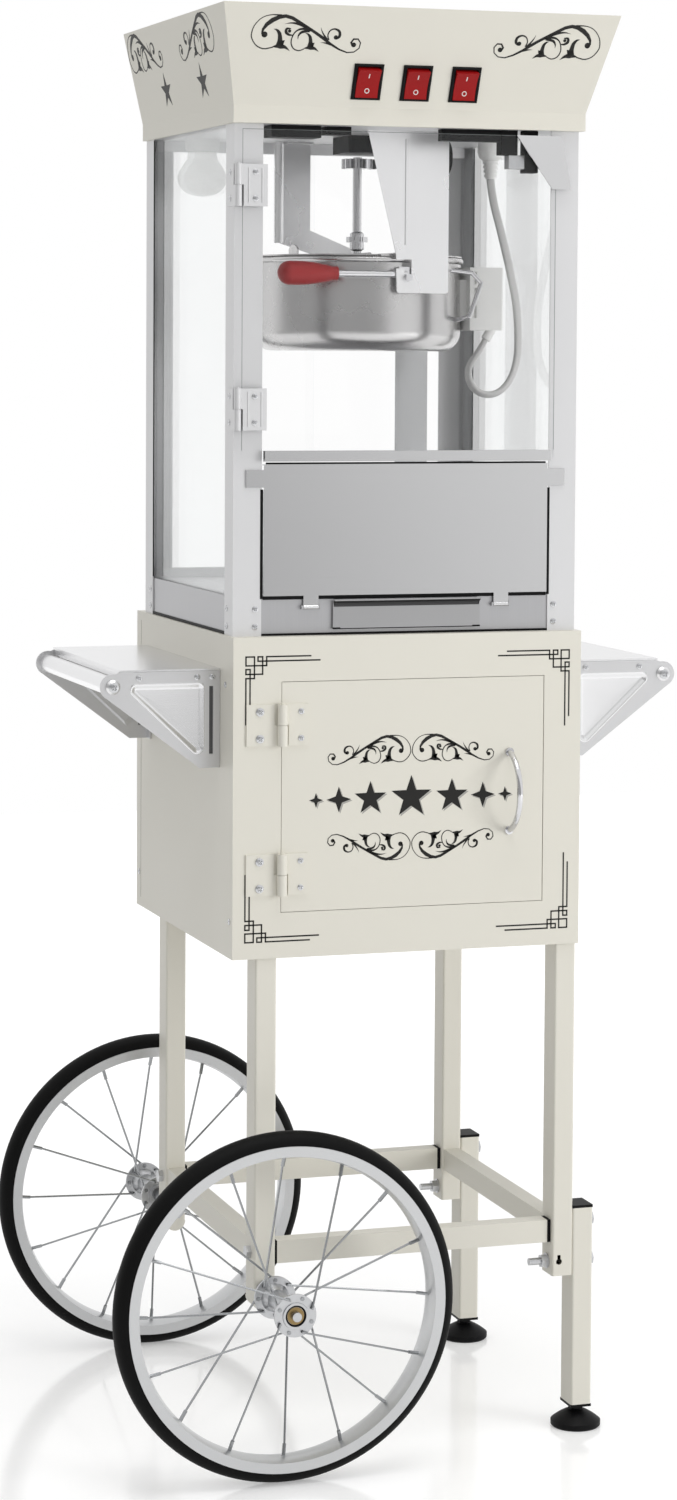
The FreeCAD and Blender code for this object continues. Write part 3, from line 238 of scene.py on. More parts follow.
# %% A socket that can be calculated with
class Flow:
    """A shader value: operators add Math nodes, and node() adds any other node."""

    def __init__(self, tree, socket):
        self.tree, self.socket = tree, socket

    def node(self, kind, out=0, settings=None, **inputs):
        """Adds a node, applies its settings first, then fills its sockets by name or, as _0, by number."""
        made = self.tree.nodes.new(kind)
        for name, value in (settings or {}).items():
            setattr(made, name, value)
        for name, value in inputs.items():
            target = made.inputs[int(name[1:]) if name[0] == "_" else name.replace("_", " ")]
            if isinstance(value, Flow):
                self.tree.links.new(value.socket, target)
            else:
                target.default_value = value
        return Flow(self.tree, made.outputs[out])

    def maths(self, operation, first, second):
        """Adds a Math node for two values."""
        return self.node("ShaderNodeMath", settings={"operation": operation}, _0=first, _1=second)

    def __add__(self, other):
        return self.maths("ADD", self, other)

    def __sub__(self, other):
        return self.maths("SUBTRACT", self, other)

    def __rsub__(self, other):
        return self.maths("SUBTRACT", other, self)

    def __mul__(self, other):
        return self.maths("MULTIPLY", self, other)

    def __pow__(self, other):
        return self.maths("POWER", self, other)

    def mix(self, low, high):
        """A colour between low and high, by this value."""
        return self.node("ShaderNodeMix", out=2, settings={"data_type": "RGBA"}, _0=self, _6=low, _7=high)


def tone(red, green, blue):
    """A colour on a screen, from 0 to 255, as the linear light that shaders use."""
    values = np.array([red, green, blue]) / 255
    linear = np.where(values <= 0.04045, values / 12.92, ((values + 0.055) / 1.055) ** 2.4)
    return (*linear.tolist(), 1.0)


def new_finish(name):
    """An empty material with a Principled shader; returns it, the shader and a Flow of object positions."""
    material = bpy.data.materials.new(name)
    material.use_nodes = True
    tree = material.node_tree
    shader = tree.nodes["Principled BSDF"]
    place = tree.nodes.new("ShaderNodeTexCoord")
    return material, shader, Flow(tree, place.outputs["Object"])


def feed(shader, **sockets):
    """Sets constants on the shader's own sockets and links what varies."""
    for name, value in sockets.items():
        target = shader.inputs[name.replace("_", " ")]
        if isinstance(value, Flow):
            value.tree.links.new(value.socket, target)
        else:
            target.default_value = value


def stretched(place, x, y, z):
    """Object positions scaled differently along each axis, so a noise turns into streaks."""
    return place.node("ShaderNodeMapping", _0=place, _3=(x, y, z))


def noise(place, scale, detail=3.0, rough=0.5):
    """Cloudy values from 0 to 1; scale is how many clouds lie in a metre."""
    return place.node("ShaderNodeTexNoise", Vector=place, Scale=scale, Detail=detail, Roughness=rough)


def bumped(shader, height, strength, distance):
    """Feeds a height into the shader's Normal through a Bump node."""
    made = height.node("ShaderNodeBump", Height=height, Strength=strength, Distance=distance)
    feed(shader, Normal=made)


print("shader helpers ready")

# %% [markdown]
# ## Stage
# The photograph has a pure white surround with only a hint of mirror image under the wheels. The floor
# and the surround are white where the camera or a pane looks at them, while the light that they give to
# the object stays at a plain level. A mirror sees the same white behind the object and a dimmer room
# low at the front left, which is what gives bare metal its contrast. The key lamp has no mirror image,
# so no hard bright patch lies on the sheet metal. The floor's own share of white is small near the object,
# where the lamps already light it, so the shadows and the floor's mirror image show there.

# %% Floor, surround and lamps
SURROUND_LIGHT = 0.54
ROOM_LEVEL, ROOM_WAY = 0.42, (-0.62, -0.56, -0.55)
ROOM_STARTS, ROOM_FULL = 0.295, 0.43
FLOOR_HALF = 5.0
FLOOR_NEAR, FLOOR_FAR = 0.26, 0.5
NEAR_AT, FAR_AT = 0.6, 3.0


def ray_kinds(tree):
    """1 for a ray that comes straight from the camera or through a pane, and 1 for one off a mirror."""
    path = tree.nodes.new("ShaderNodeLightPath")
    direct, glossy, through = [Flow(tree, path.outputs[f"Is {kind} Ray"]) for kind in
                               ("Camera", "Glossy", "Transmission")]
    return direct.maths("MAXIMUM", direct, through), glossy


def white_surround():
    """White to look at; off a mirror it dims to ROOM_LEVEL as the direction turns towards ROOM_WAY."""
    world = bpy.data.worlds.new("studio")
    bpy.context.scene.world = world
    world.use_nodes = True
    tree = world.node_tree
    back = tree.nodes["Background"]
    direct, glossy = ray_kinds(tree)
    way = Flow(tree, tree.nodes.new("ShaderNodeTexCoord").outputs["Object"])
    ahead = way.node("ShaderNodeVectorMath", out=1, settings={"operation": "DOT_PRODUCT"},
                     _0=way, _1=ROOM_WAY)
    mirrored = way.node("ShaderNodeMapRange", settings={"interpolation_type": "SMOOTHSTEP"},
                        _0=ahead, _1=ROOM_STARTS, _2=ROOM_FULL, _3=1.0, _4=ROOM_LEVEL)
    level = glossy * (mirrored - SURROUND_LIGHT) + SURROUND_LIGHT
    level = direct * (1.0 - level) + level
    back.inputs["Color"].default_value = (1, 1, 1, 1)
    tree.links.new(level.socket, back.inputs["Strength"])


def pale_floor():
    """A flat square whose added white grows with the distance from the object."""
    half = FLOOR_HALF
    mesh = bpy.data.meshes.new("floor")
    corners = [(-half, -half, 0), (half, -half, 0), (half, half, 0), (-half, half, 0)]
    mesh.from_pydata(corners, [], [(0, 1, 2, 3)])
    floor = bpy.data.objects.new("floor", mesh)
    bpy.context.scene.collection.objects.link(floor)
    material, shader, place = new_finish("floor_white")
    away = place.node("ShaderNodeVectorMath", out=1, settings={"operation": "LENGTH"}, _0=place)
    ramp = place.node("ShaderNodeMapRange", _0=away, _1=NEAR_AT, _2=FAR_AT, _3=FLOOR_NEAR, _4=FLOOR_FAR)
    direct, glossy = ray_kinds(place.tree)
    glow = ramp * direct.maths("MAXIMUM", direct, glossy)
    feed(shader, Base_Color=(0.94, 0.94, 0.94, 1), Roughness=0.12, Specular_IOR_Level=0.4,
         Emission_Color=glow.mix((0, 0, 0, 1), (1, 1, 1, 1)), Emission_Strength=1.0)
    floor.data.materials.append(material)
    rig.stage(floor)


def soft_lamp(name, at, towards, size, watts, mirrored=True):
    """A round soft lamp; one that is not mirrored leaves no image of itself in bare metal."""
    data = bpy.data.lights.new(name, "AREA")
    data.shape, data.size, data.energy = "DISK", size, watts
    lamp = bpy.data.objects.new(name, data)
    lamp.location = at
    lamp.rotation_mode = "QUATERNION"
    lamp.rotation_quaternion = (Vector(towards) - Vector(at)).to_track_quat("-Z", "Y")
    lamp.visible_glossy = mirrored
    bpy.context.scene.collection.objects.link(lamp)


white_surround()
pale_floor()
soft_lamp("key", (4.6, -4.6, 1.4), (0, 0, 0.95), 3.2, 182, mirrored=False)
soft_lamp("top", (0.0, -0.6, 3.6), (0, 0, 0.8), 2.2, 34)
bpy.context.scene.view_settings.view_transform = "Standard"
print("stage set")

# %% [markdown]
# ## Finishes
# Most of the cart is powder-coated sheet: a matt-gloss skin with a very fine orange peel. The machine is
# bare or silvered sheet, brushed along its length, and the kettle is polished. Each finish varies a
# little from place to place in tone, gloss and relief, because no real surface is one flat colour.


# %% Paint and metal
def darker(colour, share):
    """The colour with its light cut to a share."""
    return tuple(share * c for c in colour[:3]) + (1.0,)


def powder_coat(name, colour, roughness, peel=0.06, metallic=0.0):
    """Faintly clouded colour, gloss that drifts with it, orange-peel relief and a share of metal flake."""
    material, shader, place = new_finish(name)
    cloud = noise(place, 9.0, 4.0)
    feed(shader, Base_Color=cloud.mix(darker(colour, 0.965), colour),
         Roughness=cloud * 0.10 + (roughness - 0.05), Metallic=metallic)
    bumped(shader, noise(place, 900.0, 2.0), peel, 0.0004)
    return material


def brushed_metal(name, colour, roughness, along="x", metallic=1.0, depth=0.05, dark=0.86):
    """Metal with fine streaks along one axis: stretched noise drives tone, gloss and relief."""
    material, shader, place = new_finish(name)
    scales = {"x": (6, 900, 900), "z": (900, 900, 6), "y": (900, 6, 900)}[along]
    streaks = noise(stretched(place, *scales), 1.0, 4.0)
    cloud = noise(place, 5.0)
    shade = streaks * 0.6 + cloud * 0.4
    feed(shader, Base_Color=shade.mix(darker(colour, dark), colour),
         Roughness=streaks * 0.05 + (roughness - 0.025), Metallic=metallic)
    bumped(shader, streaks, depth, 0.0003)
    return material


def polished_metal(name, colour, roughness):
    """Mirror metal with smudges that dull it here and there."""
    material, shader, place = new_finish(name)
    smudge = noise(place, 14.0, 5.0, 0.6)
    feed(shader, Base_Color=smudge.mix(darker(colour, 0.93), colour),
         Roughness=smudge ** 3.0 * 0.22 + roughness, Metallic=1.0)
    bumped(shader, noise(place, 60.0, 2.0), 0.01, 0.0002)
    return material


def plated_steel(name, colour, roughness):
    """Zinc plate: a fine spangle of paler and darker grains."""
    material, shader, place = new_finish(name)
    spangle = noise(place, 160.0, 3.0)
    feed(shader, Base_Color=spangle.mix(darker(colour, 0.8), colour),
         Roughness=spangle * 0.2 + (roughness - 0.1), Metallic=0.95)
    bumped(shader, spangle, 0.06, 0.0003)
    return material


CREAM = powder_coat("cream_paint", tone(226, 223, 212), 0.42)
SILVER = powder_coat("silver_paint", tone(220, 220, 221), 0.38, 0.04, 0.3)
STAINLESS = brushed_metal("stainless_sheet", tone(213, 213, 214), 0.18, "x", 1.0, 0.001, 0.97)
DRAWER_STEEL = brushed_metal("drawer_sheet", tone(177, 177, 178), 0.3, "x", 1.0, 0.006, 0.96)
CABINET_SHEET = brushed_metal("cabinet_sheet", tone(188, 188, 190), 0.40, "z", 0.75)
CHROME = polished_metal("chrome_plate", tone(214, 214, 216), 0.06)
POT_STEEL = polished_metal("pot_steel", tone(202, 201, 201), 0.24)
BRIGHT = powder_coat("bright_sheet", tone(242, 242, 243), 0.28, 0.01, 0.7)
# The brackets take a darker, rougher copy of the shelf sheet as painted shade, and their pressed hollows take the
# shelf sheet itself as a painted highlight.
BRACKET_METAL = brushed_metal("bracket_sheet", tone(212, 212, 213), 0.42, "x", 0.95, 0.004, 0.97)
SHELF_METAL = brushed_metal("shelf_sheet", tone(232, 232, 233), 0.25, "x", 0.95, 0.01, 0.95)
ZINC = plated_steel("zinc_plate", tone(205, 206, 208), 0.34)
ALLOY = brushed_metal("wheel_alloy", tone(206, 207, 208), 0.34, "y", 0.85, 0.02)
SPOKE = polished_metal("spoke_steel", tone(158, 160, 162), 0.2)
print("metal and paint finishes", len(bpy.data.materials))


# %% Plastic, rubber and glass
def moulded(name, colour, roughness, grain=700.0, depth=0.12, gloss=0.3):
    """Moulded plastic or rubber: a fine eroded texture and slightly uneven gloss."""
    material, shader, place = new_finish(name)
    speck = noise(place, grain, 2.0)
    cloud = noise(place, 20.0)
    feed(shader, Base_Color=cloud.mix(darker(colour, 0.85), colour),
         Roughness=cloud * 0.14 + (roughness - 0.07), Specular_IOR_Level=gloss)
    bumped(shader, speck, depth, 0.0004)
    return material


def clear_pane(name, gloss, haze):
    """A pane: light goes straight through, less a share that mirrors, more so at a shallow angle and where
    it is smeared."""
    material, shader, place = new_finish(name)
    smear = noise(place, 3.0, 5.0, 0.6)
    edge = place.node("ShaderNodeLayerWeight", out=0, Blend=0.12)
    feed(shader, Base_Color=smear.mix((0.9, 0.92, 0.92, 1), (0.96, 0.97, 0.97, 1)), Metallic=1.0,
         Roughness=smear * 0.04 + 0.01, Alpha=edge * 0.5 + smear * haze + gloss)
    return material


def frosted_bulb(name):
    """Thin white frost: about half of the light is scattered by it and the rest goes straight through."""
    material, shader, place = new_finish(name)
    frost = noise(place, 300.0, 3.0)
    feed(shader, Base_Color=frost.mix(tone(242, 242, 240), tone(250, 250, 248)),
         Roughness=frost * 0.1 + 0.3, Alpha=frost * 0.2 + 0.4)
    return material


BLACK = moulded("black_plastic", tone(18, 18, 19), 0.5, gloss=0.12)
TYRE = moulded("tyre_rubber", tone(14, 14, 14), 0.55, 500.0, 0.2, 0.1)
RED_GRIP = moulded("red_handle", tone(158, 34, 36), 0.38, 400.0, 0.04, 0.25)
RED_ROCKER = moulded("red_rocker", tone(158, 14, 16), 0.36, 400.0, 0.03, 0.22)
WHITE = moulded("pale_plastic", tone(236, 236, 234), 0.45)
CORD_GREY = moulded("cord_sleeve", tone(204, 204, 203), 0.5)
DOOR_PANE = clear_pane("door_pane", 0.006, 0.014)
SIDE_PANE = clear_pane("side_pane", 0.006, 0.005)
BULB = frosted_bulb("frosted_glass")
print("all finishes", len(bpy.data.materials))

# %% [markdown]
# ## Dressing the solids
# Every solid keeps its shape and only changes its finish, so one table says which finish each takes.

# %% Which finish each solid takes
FINISH_OF = {
    "cream": (CREAM, ["cart_front", "cart_sides", "cart_back", "cart_decks", "cart_door", "roof_canopy",
                      "legs", "cross_rails", "cart_hinge_fixed", "cart_hinge_moving"]),
    "silver": (SILVER, ["corner_posts", "roof_deck", "rear_tracks", "door_hinge_fixed", "door_hinge_moving"]),
    "bright": (BRIGHT, ["kettle_hangers"]),
    "shelf": (SHELF_METAL, ["shelf_tops", "shelf_bars"]),
    "bracket": (BRACKET_METAL, ["shelf_brackets"]),
    "cabinet": (CABINET_SHEET, ["machine_base", "popcorn_floor"]),
    "stainless": (STAINLESS, ["serving_panel", "door_trim"]),
    "drawer": (DRAWER_STEEL, ["kernel_drawer"]),
    "chrome": (CHROME, ["cart_door_handle", "kettle_arm", "stirrer", "stirrer_gear", "drive_gear"]),
    "pot": (POT_STEEL, ["kettle_pot", "kettle_lid_left", "kettle_lid_right"]),
    "zinc": (ZINC, ["leg_bolts", "axles", "front_hub", "rear_hub"]),
    "spokes": (SPOKE, ["front_spokes", "rear_spokes"]),
    "alloy": (ALLOY, ["front_rim", "rear_rim"]),
    "tyre": (TYRE, ["front_tyre", "rear_tyre"]),
    "black": (BLACK, ["tube_caps", "foot_front", "foot_rear", "drive_motor", "switch_bezels"]),
    "red grip": (RED_GRIP, ["handle_grip"]),
    "red rocker": (RED_ROCKER, ["rocker_left", "rocker_middle", "rocker_right"]),
    "white": (WHITE, ["lamp_socket", "kettle_socket", "cord_plug"]),
    "cord": (CORD_GREY, ["kettle_cord"]),
    "door pane": (DOOR_PANE, ["door_glass"]),
    "side pane": (SIDE_PANE, ["side_glass", "rear_door_left", "rear_door_right"]),
    "bulb": (BULB, ["lamp_bulb"]),
}


def dress(material, nodes):
    """Gives solids one finish and returns how many there were."""
    for node in nodes:
        data = frame["nodes"][node].data
        data.materials.clear()
        data.materials.append(material)
    return len(nodes)


dressed = sum(dress(material, nodes) for material, nodes in FINISH_OF.values())
print("dressed", dressed, "of", len(frame["nodes"]))

# %% [markdown]
# ## The kettle's cord
# A pale flat lead leaves the plug under the roof, hangs in one loose loop and comes back up into the
# kettle's socket. Its middle line is a smooth spline through the same route as the solid's. The flat
# section is carried along that line and turns slowly, so it shows its broad side at the top and its
# edge in the loop. When the kettle tips, the lower end goes with it, so the cord is split at the loop's
# lowest point: the hanging part stays with the roof, and the part that rises to the socket bends.

# %% Cord
CORD_ROUTE = np.array([
    (158.7, -36, 1401), (160.5, -36.5, 1380), (171.4, -38, 1341), (181.4, -39.5, 1300), (189.8, -41, 1260),
    (191.7, -42.5, 1224), (190.2, -44, 1196), (181.4, -46, 1172), (164.1, -48, 1156), (142.9, -50, 1156.5),
    (128.6, -52, 1169.5), (127.1, -53.5, 1188.5), (138, -55, 1203.5), (146.6, -56, 1218.5)]) / 1000
CORD_WIDTH, CORD_THICK = 0.0092, 0.0058


def spline_points(route):
    """Points along a smooth spline whose control points are the route's."""
    curve = bpy.data.curves.new("cord_line", "CURVE")
    curve.dimensions = "3D"
    spline = curve.splines.new("NURBS")
    spline.points.add(len(route) - 1)
    spline.points.foreach_set("co", np.column_stack([route, np.ones(len(route))]).ravel())
    spline.order_u = 3
    spline.use_endpoint_u = True
    spline.resolution_u = 12
    holder = bpy.data.objects.new("cord_line", curve)
    mesh = bpy.data.meshes.new_from_object(holder)
    points = np.empty(len(mesh.vertices) * 3)
    mesh.vertices.foreach_get("co", points)
    bpy.data.objects.remove(holder)
    bpy.data.curves.remove(curve)
    bpy.data.meshes.remove(mesh)
    return points.reshape(-1, 3)


def piece_from(name, points, finish, body, wrap_u=False, wrap_v=False, slot=None):
    """A piece from one or more grids of points, shaped (rows, columns, 3) or (count, rows, columns, 3).

    Neighbouring points become quads. wrap_u closes the rows into a ring, wrap_v the columns, and points
    that coincide, as at a pole, are merged so that the skin is closed.
    """
    grids = points if points.ndim == 4 else points[None]
    count, rows, columns = grids.shape[:3]
    index = np.arange(count * rows * columns).reshape(count, rows, columns)
    if wrap_u:
        index = np.concatenate([index, index[:, :1]], axis=1)
    if wrap_v:
        index = np.concatenate([index, index[:, :, :1]], axis=2)
    quads = np.stack([index[:, :-1, :-1], index[:, :-1, 1:], index[:, 1:, 1:], index[:, 1:, :-1]], axis=-1)
    mesh = bpy.data.meshes.new(name)
    mesh.from_pydata(grids.reshape(-1, 3).tolist(), [], quads.reshape(-1, 4).tolist())
    work = bmesh.new()
    work.from_mesh(mesh)
    bmesh.ops.remove_doubles(work, verts=work.verts, dist=1e-6)
    bmesh.ops.recalc_face_normals(work, faces=work.faces)
    work.to_mesh(mesh)
    work.free()
    mesh.materials.append(finish)
    made = bpy.data.objects.new(name, mesh)
    bpy.context.scene.collection.objects.link(made)
    if body:
        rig.ride(made, body)
    if slot:
        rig.slot(made, slot)
    return made


def smooth(piece, angle=40):
    """Rounds the shading except across edges sharper than the angle."""
    piece.data.shade_smooth()
    piece.data.set_sharp_from_angle(angle=math.radians(angle))
    return piece


def path_sides(line, up):
    """Two unit sides, square to a line all along it; the second is as near to up as it can be."""
    tangent = np.gradient(line, axis=0)
    tangent /= np.linalg.norm(tangent, axis=1, keepdims=True)
    side = np.cross(tangent, up)
    side /= np.linalg.norm(side, axis=1, keepdims=True)
    return side, np.cross(side, tangent)


def flat_cord():
    """A rounded flat section carried along the spline, turning a third of a turn from end to end."""
    line = spline_points(CORD_ROUTE)
    side, other = path_sides(line, np.array([0.0, 1.0, 0.0]))
    along = np.linspace(0, 1, len(line))[:, None, None]
    twist = np.radians(-20 + 110 * along)
    around = np.linspace(0, 2 * np.pi, 20, endpoint=False)[None, :, None]
    wide = np.sign(np.cos(around)) * np.abs(np.cos(around)) ** 0.7 * CORD_WIDTH / 2
    thin = np.sign(np.sin(around)) * np.abs(np.sin(around)) ** 0.7 * CORD_THICK / 2
    first = wide * np.cos(twist) - thin * np.sin(twist)
    second = wide * np.sin(twist) + thin * np.cos(twist)
    return line, line[:, None] + first * side[:, None] + second * other[:, None]


def cord_part(name, line, skin):
    """The tube of these rows, closed at both ends by the middle line's points."""
    caps = [np.repeat(end[None, None], skin.shape[1], axis=1) for end in (line[0], line[-1])]
    part = piece_from(name, np.concatenate([caps[0], skin, caps[1]]), CORD_GREY, None, wrap_v=True)
    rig.slot(part, "white_plastic")
    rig.replaces(part, "kettle_cord")
    return smooth(part)


def line_length(line):
    """The sum of the steps along a line."""
    return float(np.linalg.norm(np.diff(line, axis=0), axis=1).sum())


cord_line, cord_skin = flat_cord()
lowest = int(cord_line[:, 2].argmin())
hanging, rising = cord_line[:lowest + 1], cord_line[lowest:]
cord = cord_part("kettle_cord_flex", hanging, cord_skin[:lowest + 1])
tail = cord_part("kettle_cord_tail", rising, cord_skin[lowest:])
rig.ride(cord, "cart_and_cabinet")
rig.blend(tail, "cart_and_cabinet", "kettle", start=(0, 0, 1.162), end=(0, 0, 1.216))
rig.cord(cord, exit=CORD_ROUTE[0], length=line_length(hanging), diameter=CORD_WIDTH, far_end="object",
        stiffness="limp", lay="hanging", path=hanging, with_pieces=["cord_plug"])
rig.cord(tail, exit=rising[0], length=line_length(rising), diameter=CORD_WIDTH, far_end="object",
        stiffness="limp", lay="hanging", path=rising)
print("cord", round(line_length(hanging), 3), "+", round(line_length(rising), 3), "m")

# %% [markdown]
# ## Printed ornament
# The roof and the cart's door carry black scrolls. They are drawn here as pen strokes: each stroke is a few
# points with a pen width at each of them, a smooth curve runs through them, and the pen widens and
# narrows along it. Real ones are screen printed or cut from vinyl; here every stroke is a closed skin a
# tenth of a millimetre thick, so it can be laid on any face and seen from any side.

# %% Pen strokes
INK_HIGH = 0.00015
STROKE_ROWS = 22


def smooth_through(points, rows):
    """A curve through all points: each span is a cubic that meets its ends along their neighbours' chord."""
    points = np.asarray(points, float)
    padded = np.concatenate([2 * points[:1] - points[1:2], points, 2 * points[-1:] - points[-2:-1]])
    at = np.linspace(0, len(points) - 1 - 1e-9, rows)
    k = at.astype(int)
    t = (at - k)[:, None]
    p0, p1, p2, p3 = (padded[k + j] for j in range(4))
    return 0.5 * (2 * p1 + (p2 - p0) * t + (2 * p0 - 5 * p1 + 4 * p2 - p3) * t ** 2
                  + (3 * p1 - p0 - 3 * p2 + p3) * t ** 3)


def pen(*points):
    """A stroke from (across, up, width) points, with its pen width kept from going below nothing."""
    line = smooth_through(points, STROKE_ROWS)
    line[:, 2] = np.maximum(line[:, 2], 0)
    return line


def dot(x, y, radius):
    """A round dot, as a straight stroke whose width follows the circle."""
    turn = np.linspace(np.pi, 0, STROKE_ROWS)
    return np.column_stack([x + radius * np.cos(turn), np.full(STROKE_ROWS, y), 2 * radius * np.sin(turn)])


def straight(x0, y0, x1, y1, width):
    """A ruled line with square ends."""
    t = np.linspace(0, 1, STROKE_ROWS)[:, None]
    return np.array([[x0, y0, width]]) * (1 - t) + np.array([[x1, y1, width]]) * t


def inked(strokes, lay, high=INK_HIGH):
    """Grids of a set of strokes: across each stroke lie its two edges, on the face and a little above it.

    lay(x, y, height) gives the point in space of a point of the drawing.
    """
    line = np.asarray(strokes)
    run = np.gradient(line[..., :2], axis=1)
    run /= np.maximum(np.linalg.norm(run, axis=-1, keepdims=True), 1e-12)
    side = np.stack([-run[..., 1], run[..., 0]], axis=-1) * line[..., 2:] / 2
    left, right = line[..., :2] + side, line[..., :2] - side
    ring = np.stack([left, right, right, left], axis=2)
    heights = np.array([high, high, 0.2 * high, 0.2 * high])
    skin = lay(ring[..., 0], ring[..., 1], np.broadcast_to(heights, ring.shape[:3]))
    middle = skin.mean(axis=2, keepdims=True)
    caps = np.broadcast_to(middle, skin.shape)
    return np.concatenate([caps[:, :1], skin, caps[:, -1:]], axis=1)


def flat_face(origin, across, up, size=1.0):
    """Lays a drawing on a plane: its origin, the directions of the drawing's axes, and its scale."""
    across, up = np.asarray(across, float), np.asarray(up, float)
    out = np.cross(across, up)
    out /= np.linalg.norm(out)

    def lay(x, y, height):
        flat = x[..., None] * across + y[..., None] * up
        return np.asarray(origin) + size * flat + height[..., None] * out
    return lay


print("a stroke has", STROKE_ROWS, "points")

# %% [markdown]
# ### The scroll
# One scroll is about nine units long: a big loop with a leaf, a smaller loop with a leaf, and a tail that
# throws off a curl and ends in another. All others are this one, scaled, mirrored or turned.

# %% Scroll
def leaf(x, y, size):
    """Three pointed lobes from one foot: up and to the left, a short one to the right, down to the right."""
    lobes = [[(0.0, 0.0, 0.62), (-0.02, 0.45, 0.40), (-0.12, 0.95, 0.30), (-0.36, 1.24, 0.18),
              (-0.66, 1.34, 0.0)],
             [(0.0, 0.05, 0.62), (0.2, 0.24, 0.36), (0.4, 0.42, 0.0)],
             [(-0.62, -0.18, 0.05), (-0.2, -0.1, 0.3), (0.1, -0.1, 0.42), (0.5, -0.18, 0.24),
              (0.92, -0.48, 0.0)]]
    return [pen(*[(x + size * a, y + size * b, size * w) for a, b, w in lobe]) for lobe in lobes]


SCROLL = [
    pen((1.95, -1.14, 0.10), (1.2, -1.30, 0.10), (0.55, -1.05, 0.09), (0.12, -0.5, 0.09), (0.03, -0.05, 0.09),
        (0.2, 0.62, 0.08), (0.75, 1.28, 0.07), (1.5, 1.56, 0.08), (2.4, 1.56, 0.14)),
    pen((1.12, -0.25, 0.14), (0.9, 0.02, 0.16), (1.0, 0.42, 0.24), (1.35, 0.88, 0.36), (1.9, 1.26, 0.40),
        (2.5, 1.48, 0.30), (3.1, 1.44, 0.30), (3.8, 1.1, 0.26), (4.6, 0.66, 0.24), (5.4, 0.2, 0.24),
        (6.2, -0.3, 0.26), (6.9, -0.78, 0.2), (7.8, -1.24, 0.13), (8.5, -1.4, 0.1), (9.1, -1.2, 0.09),
        (9.36, -0.72, 0.1), (9.2, -0.28, 0.12), (8.78, -0.2, 0.14), (8.54, -0.5, 0.18), (8.72, -0.84, 0.2)),
    dot(1.13, -0.1, 0.25),
    dot(8.78, -0.72, 0.2),
    pen((4.6, -1.2, 0.08), (4.15, -1.36, 0.09), (3.68, -1.18, 0.1), (3.44, -0.7, 0.1), (3.52, -0.12, 0.1),
        (3.8, 0.3, 0.12), (4.3, 0.48, 0.2), (5.0, 0.38, 0.2)),
    pen((3.98, -0.42, 0.02), (4.0, -0.1, 0.12), (4.26, 0.2, 0.22), (4.9, 0.32, 0.2)),
    pen((3.52, -0.08, 0.08), (3.2, -0.06, 0.18), (2.92, 0.14, 0.24), (2.96, 0.44, 0.2), (3.3, 0.46, 0.08)),
    dot(3.2, 0.26, 0.14),
    pen((2.7, 0.84, 0.0), (3.3, 0.94, 0.12), (3.9, 0.86, 0.2), (4.6, 0.6, 0.2)),
    pen((5.8, 0.68, 0.0), (5.95, 0.32, 0.08), (6.2, -0.05, 0.14), (6.5, -0.4, 0.2)),
    pen((5.9, -0.62, 0.0), (6.3, -0.64, 0.1), (6.8, -0.74, 0.2)),
    pen((6.62, -0.4, 0.1), (6.48, 0.02, 0.1), (6.64, 0.42, 0.11), (7.02, 0.56, 0.14), (7.42, 0.36, 0.22),
        (7.48, -0.04, 0.24), (7.2, -0.26, 0.18)),
    dot(7.18, -0.14, 0.18),
] + leaf(2.5, -0.94, 1.0) + leaf(5.1, -1.0, 0.84)
SCROLL_LENGTH = 9.4
print("strokes in a scroll", len(SCROLL))

# %% [markdown]
# ### Stars, keys and places
# The roof's sides have five-pointed stars below the scrolls. The cart's front has a woven key in each
# corner, made of ruled lines. The row on the door is a plain one of stars and diamonds.

# %% Stars and corner keys
INK = moulded("black_ink", tone(30, 29, 27), 0.5, 900.0, 0.03)
SHADOW_INK = moulded("grey_ink", tone(176, 174, 168), 0.55, 900.0, 0.03)
MILLI = 0.001
CART_SHIFT = 0.008


def star(x, y, radius, waist, points=5):
    """A star as a ring about its middle: the radius jumps between tip and waist; its back closes the skin."""
    turn = np.pi / 2 + np.pi * np.arange(2 * points) / points
    reach = np.where(np.arange(2 * points) % 2 == 0, radius, waist * radius)
    ring = np.column_stack([x + reach * np.cos(turn), y + reach * np.sin(turn)])
    middle = np.broadcast_to([x, y], ring.shape)
    return np.stack([middle, ring, ring, middle])


def stars_laid(stars, lay, high=INK_HIGH):
    """Grids of a set of stars, laid as strokes are."""
    grids = np.stack(stars)
    heights = np.broadcast_to(np.array([high, high, 0.2 * high, 0.2 * high])[:, None], grids.shape[:3])
    return lay(grids[..., 0], grids[..., 1], heights)


def key_lines():
    """The woven corner, running right and down from its corner in millimetres, and the same lines swapped."""
    cell, low, high, step, far = 9.5, 13.5, 18.7, 4.7, 23.2
    lines = [(0, 0, cell, 0), (0, cell, far, cell), (far, 0, far, cell), (far, 0, 72.7, 0), (low, 0, high, 0),
             (low, 0, low, step), (high, 0, high, high), (low, step, 83, step)]
    lines += [(y0, x0, y1, x1) for x0, y0, x1, y1 in lines]
    half = 0.8
    strokes = []
    for x0, y0, x1, y1 in lines:
        dx, dy = (half, 0) if y0 == y1 else (0, half)
        strokes.append(straight(x0 - dx, y0 - dy, x1 + dx, y1 + dy, 2 * half))
    return strokes


def put_ink(name, grids, body, ink=INK):
    """A piece of laid strokes or stars."""
    return piece_from(name, grids, ink, body, wrap_v=True, slot="black_plastic")


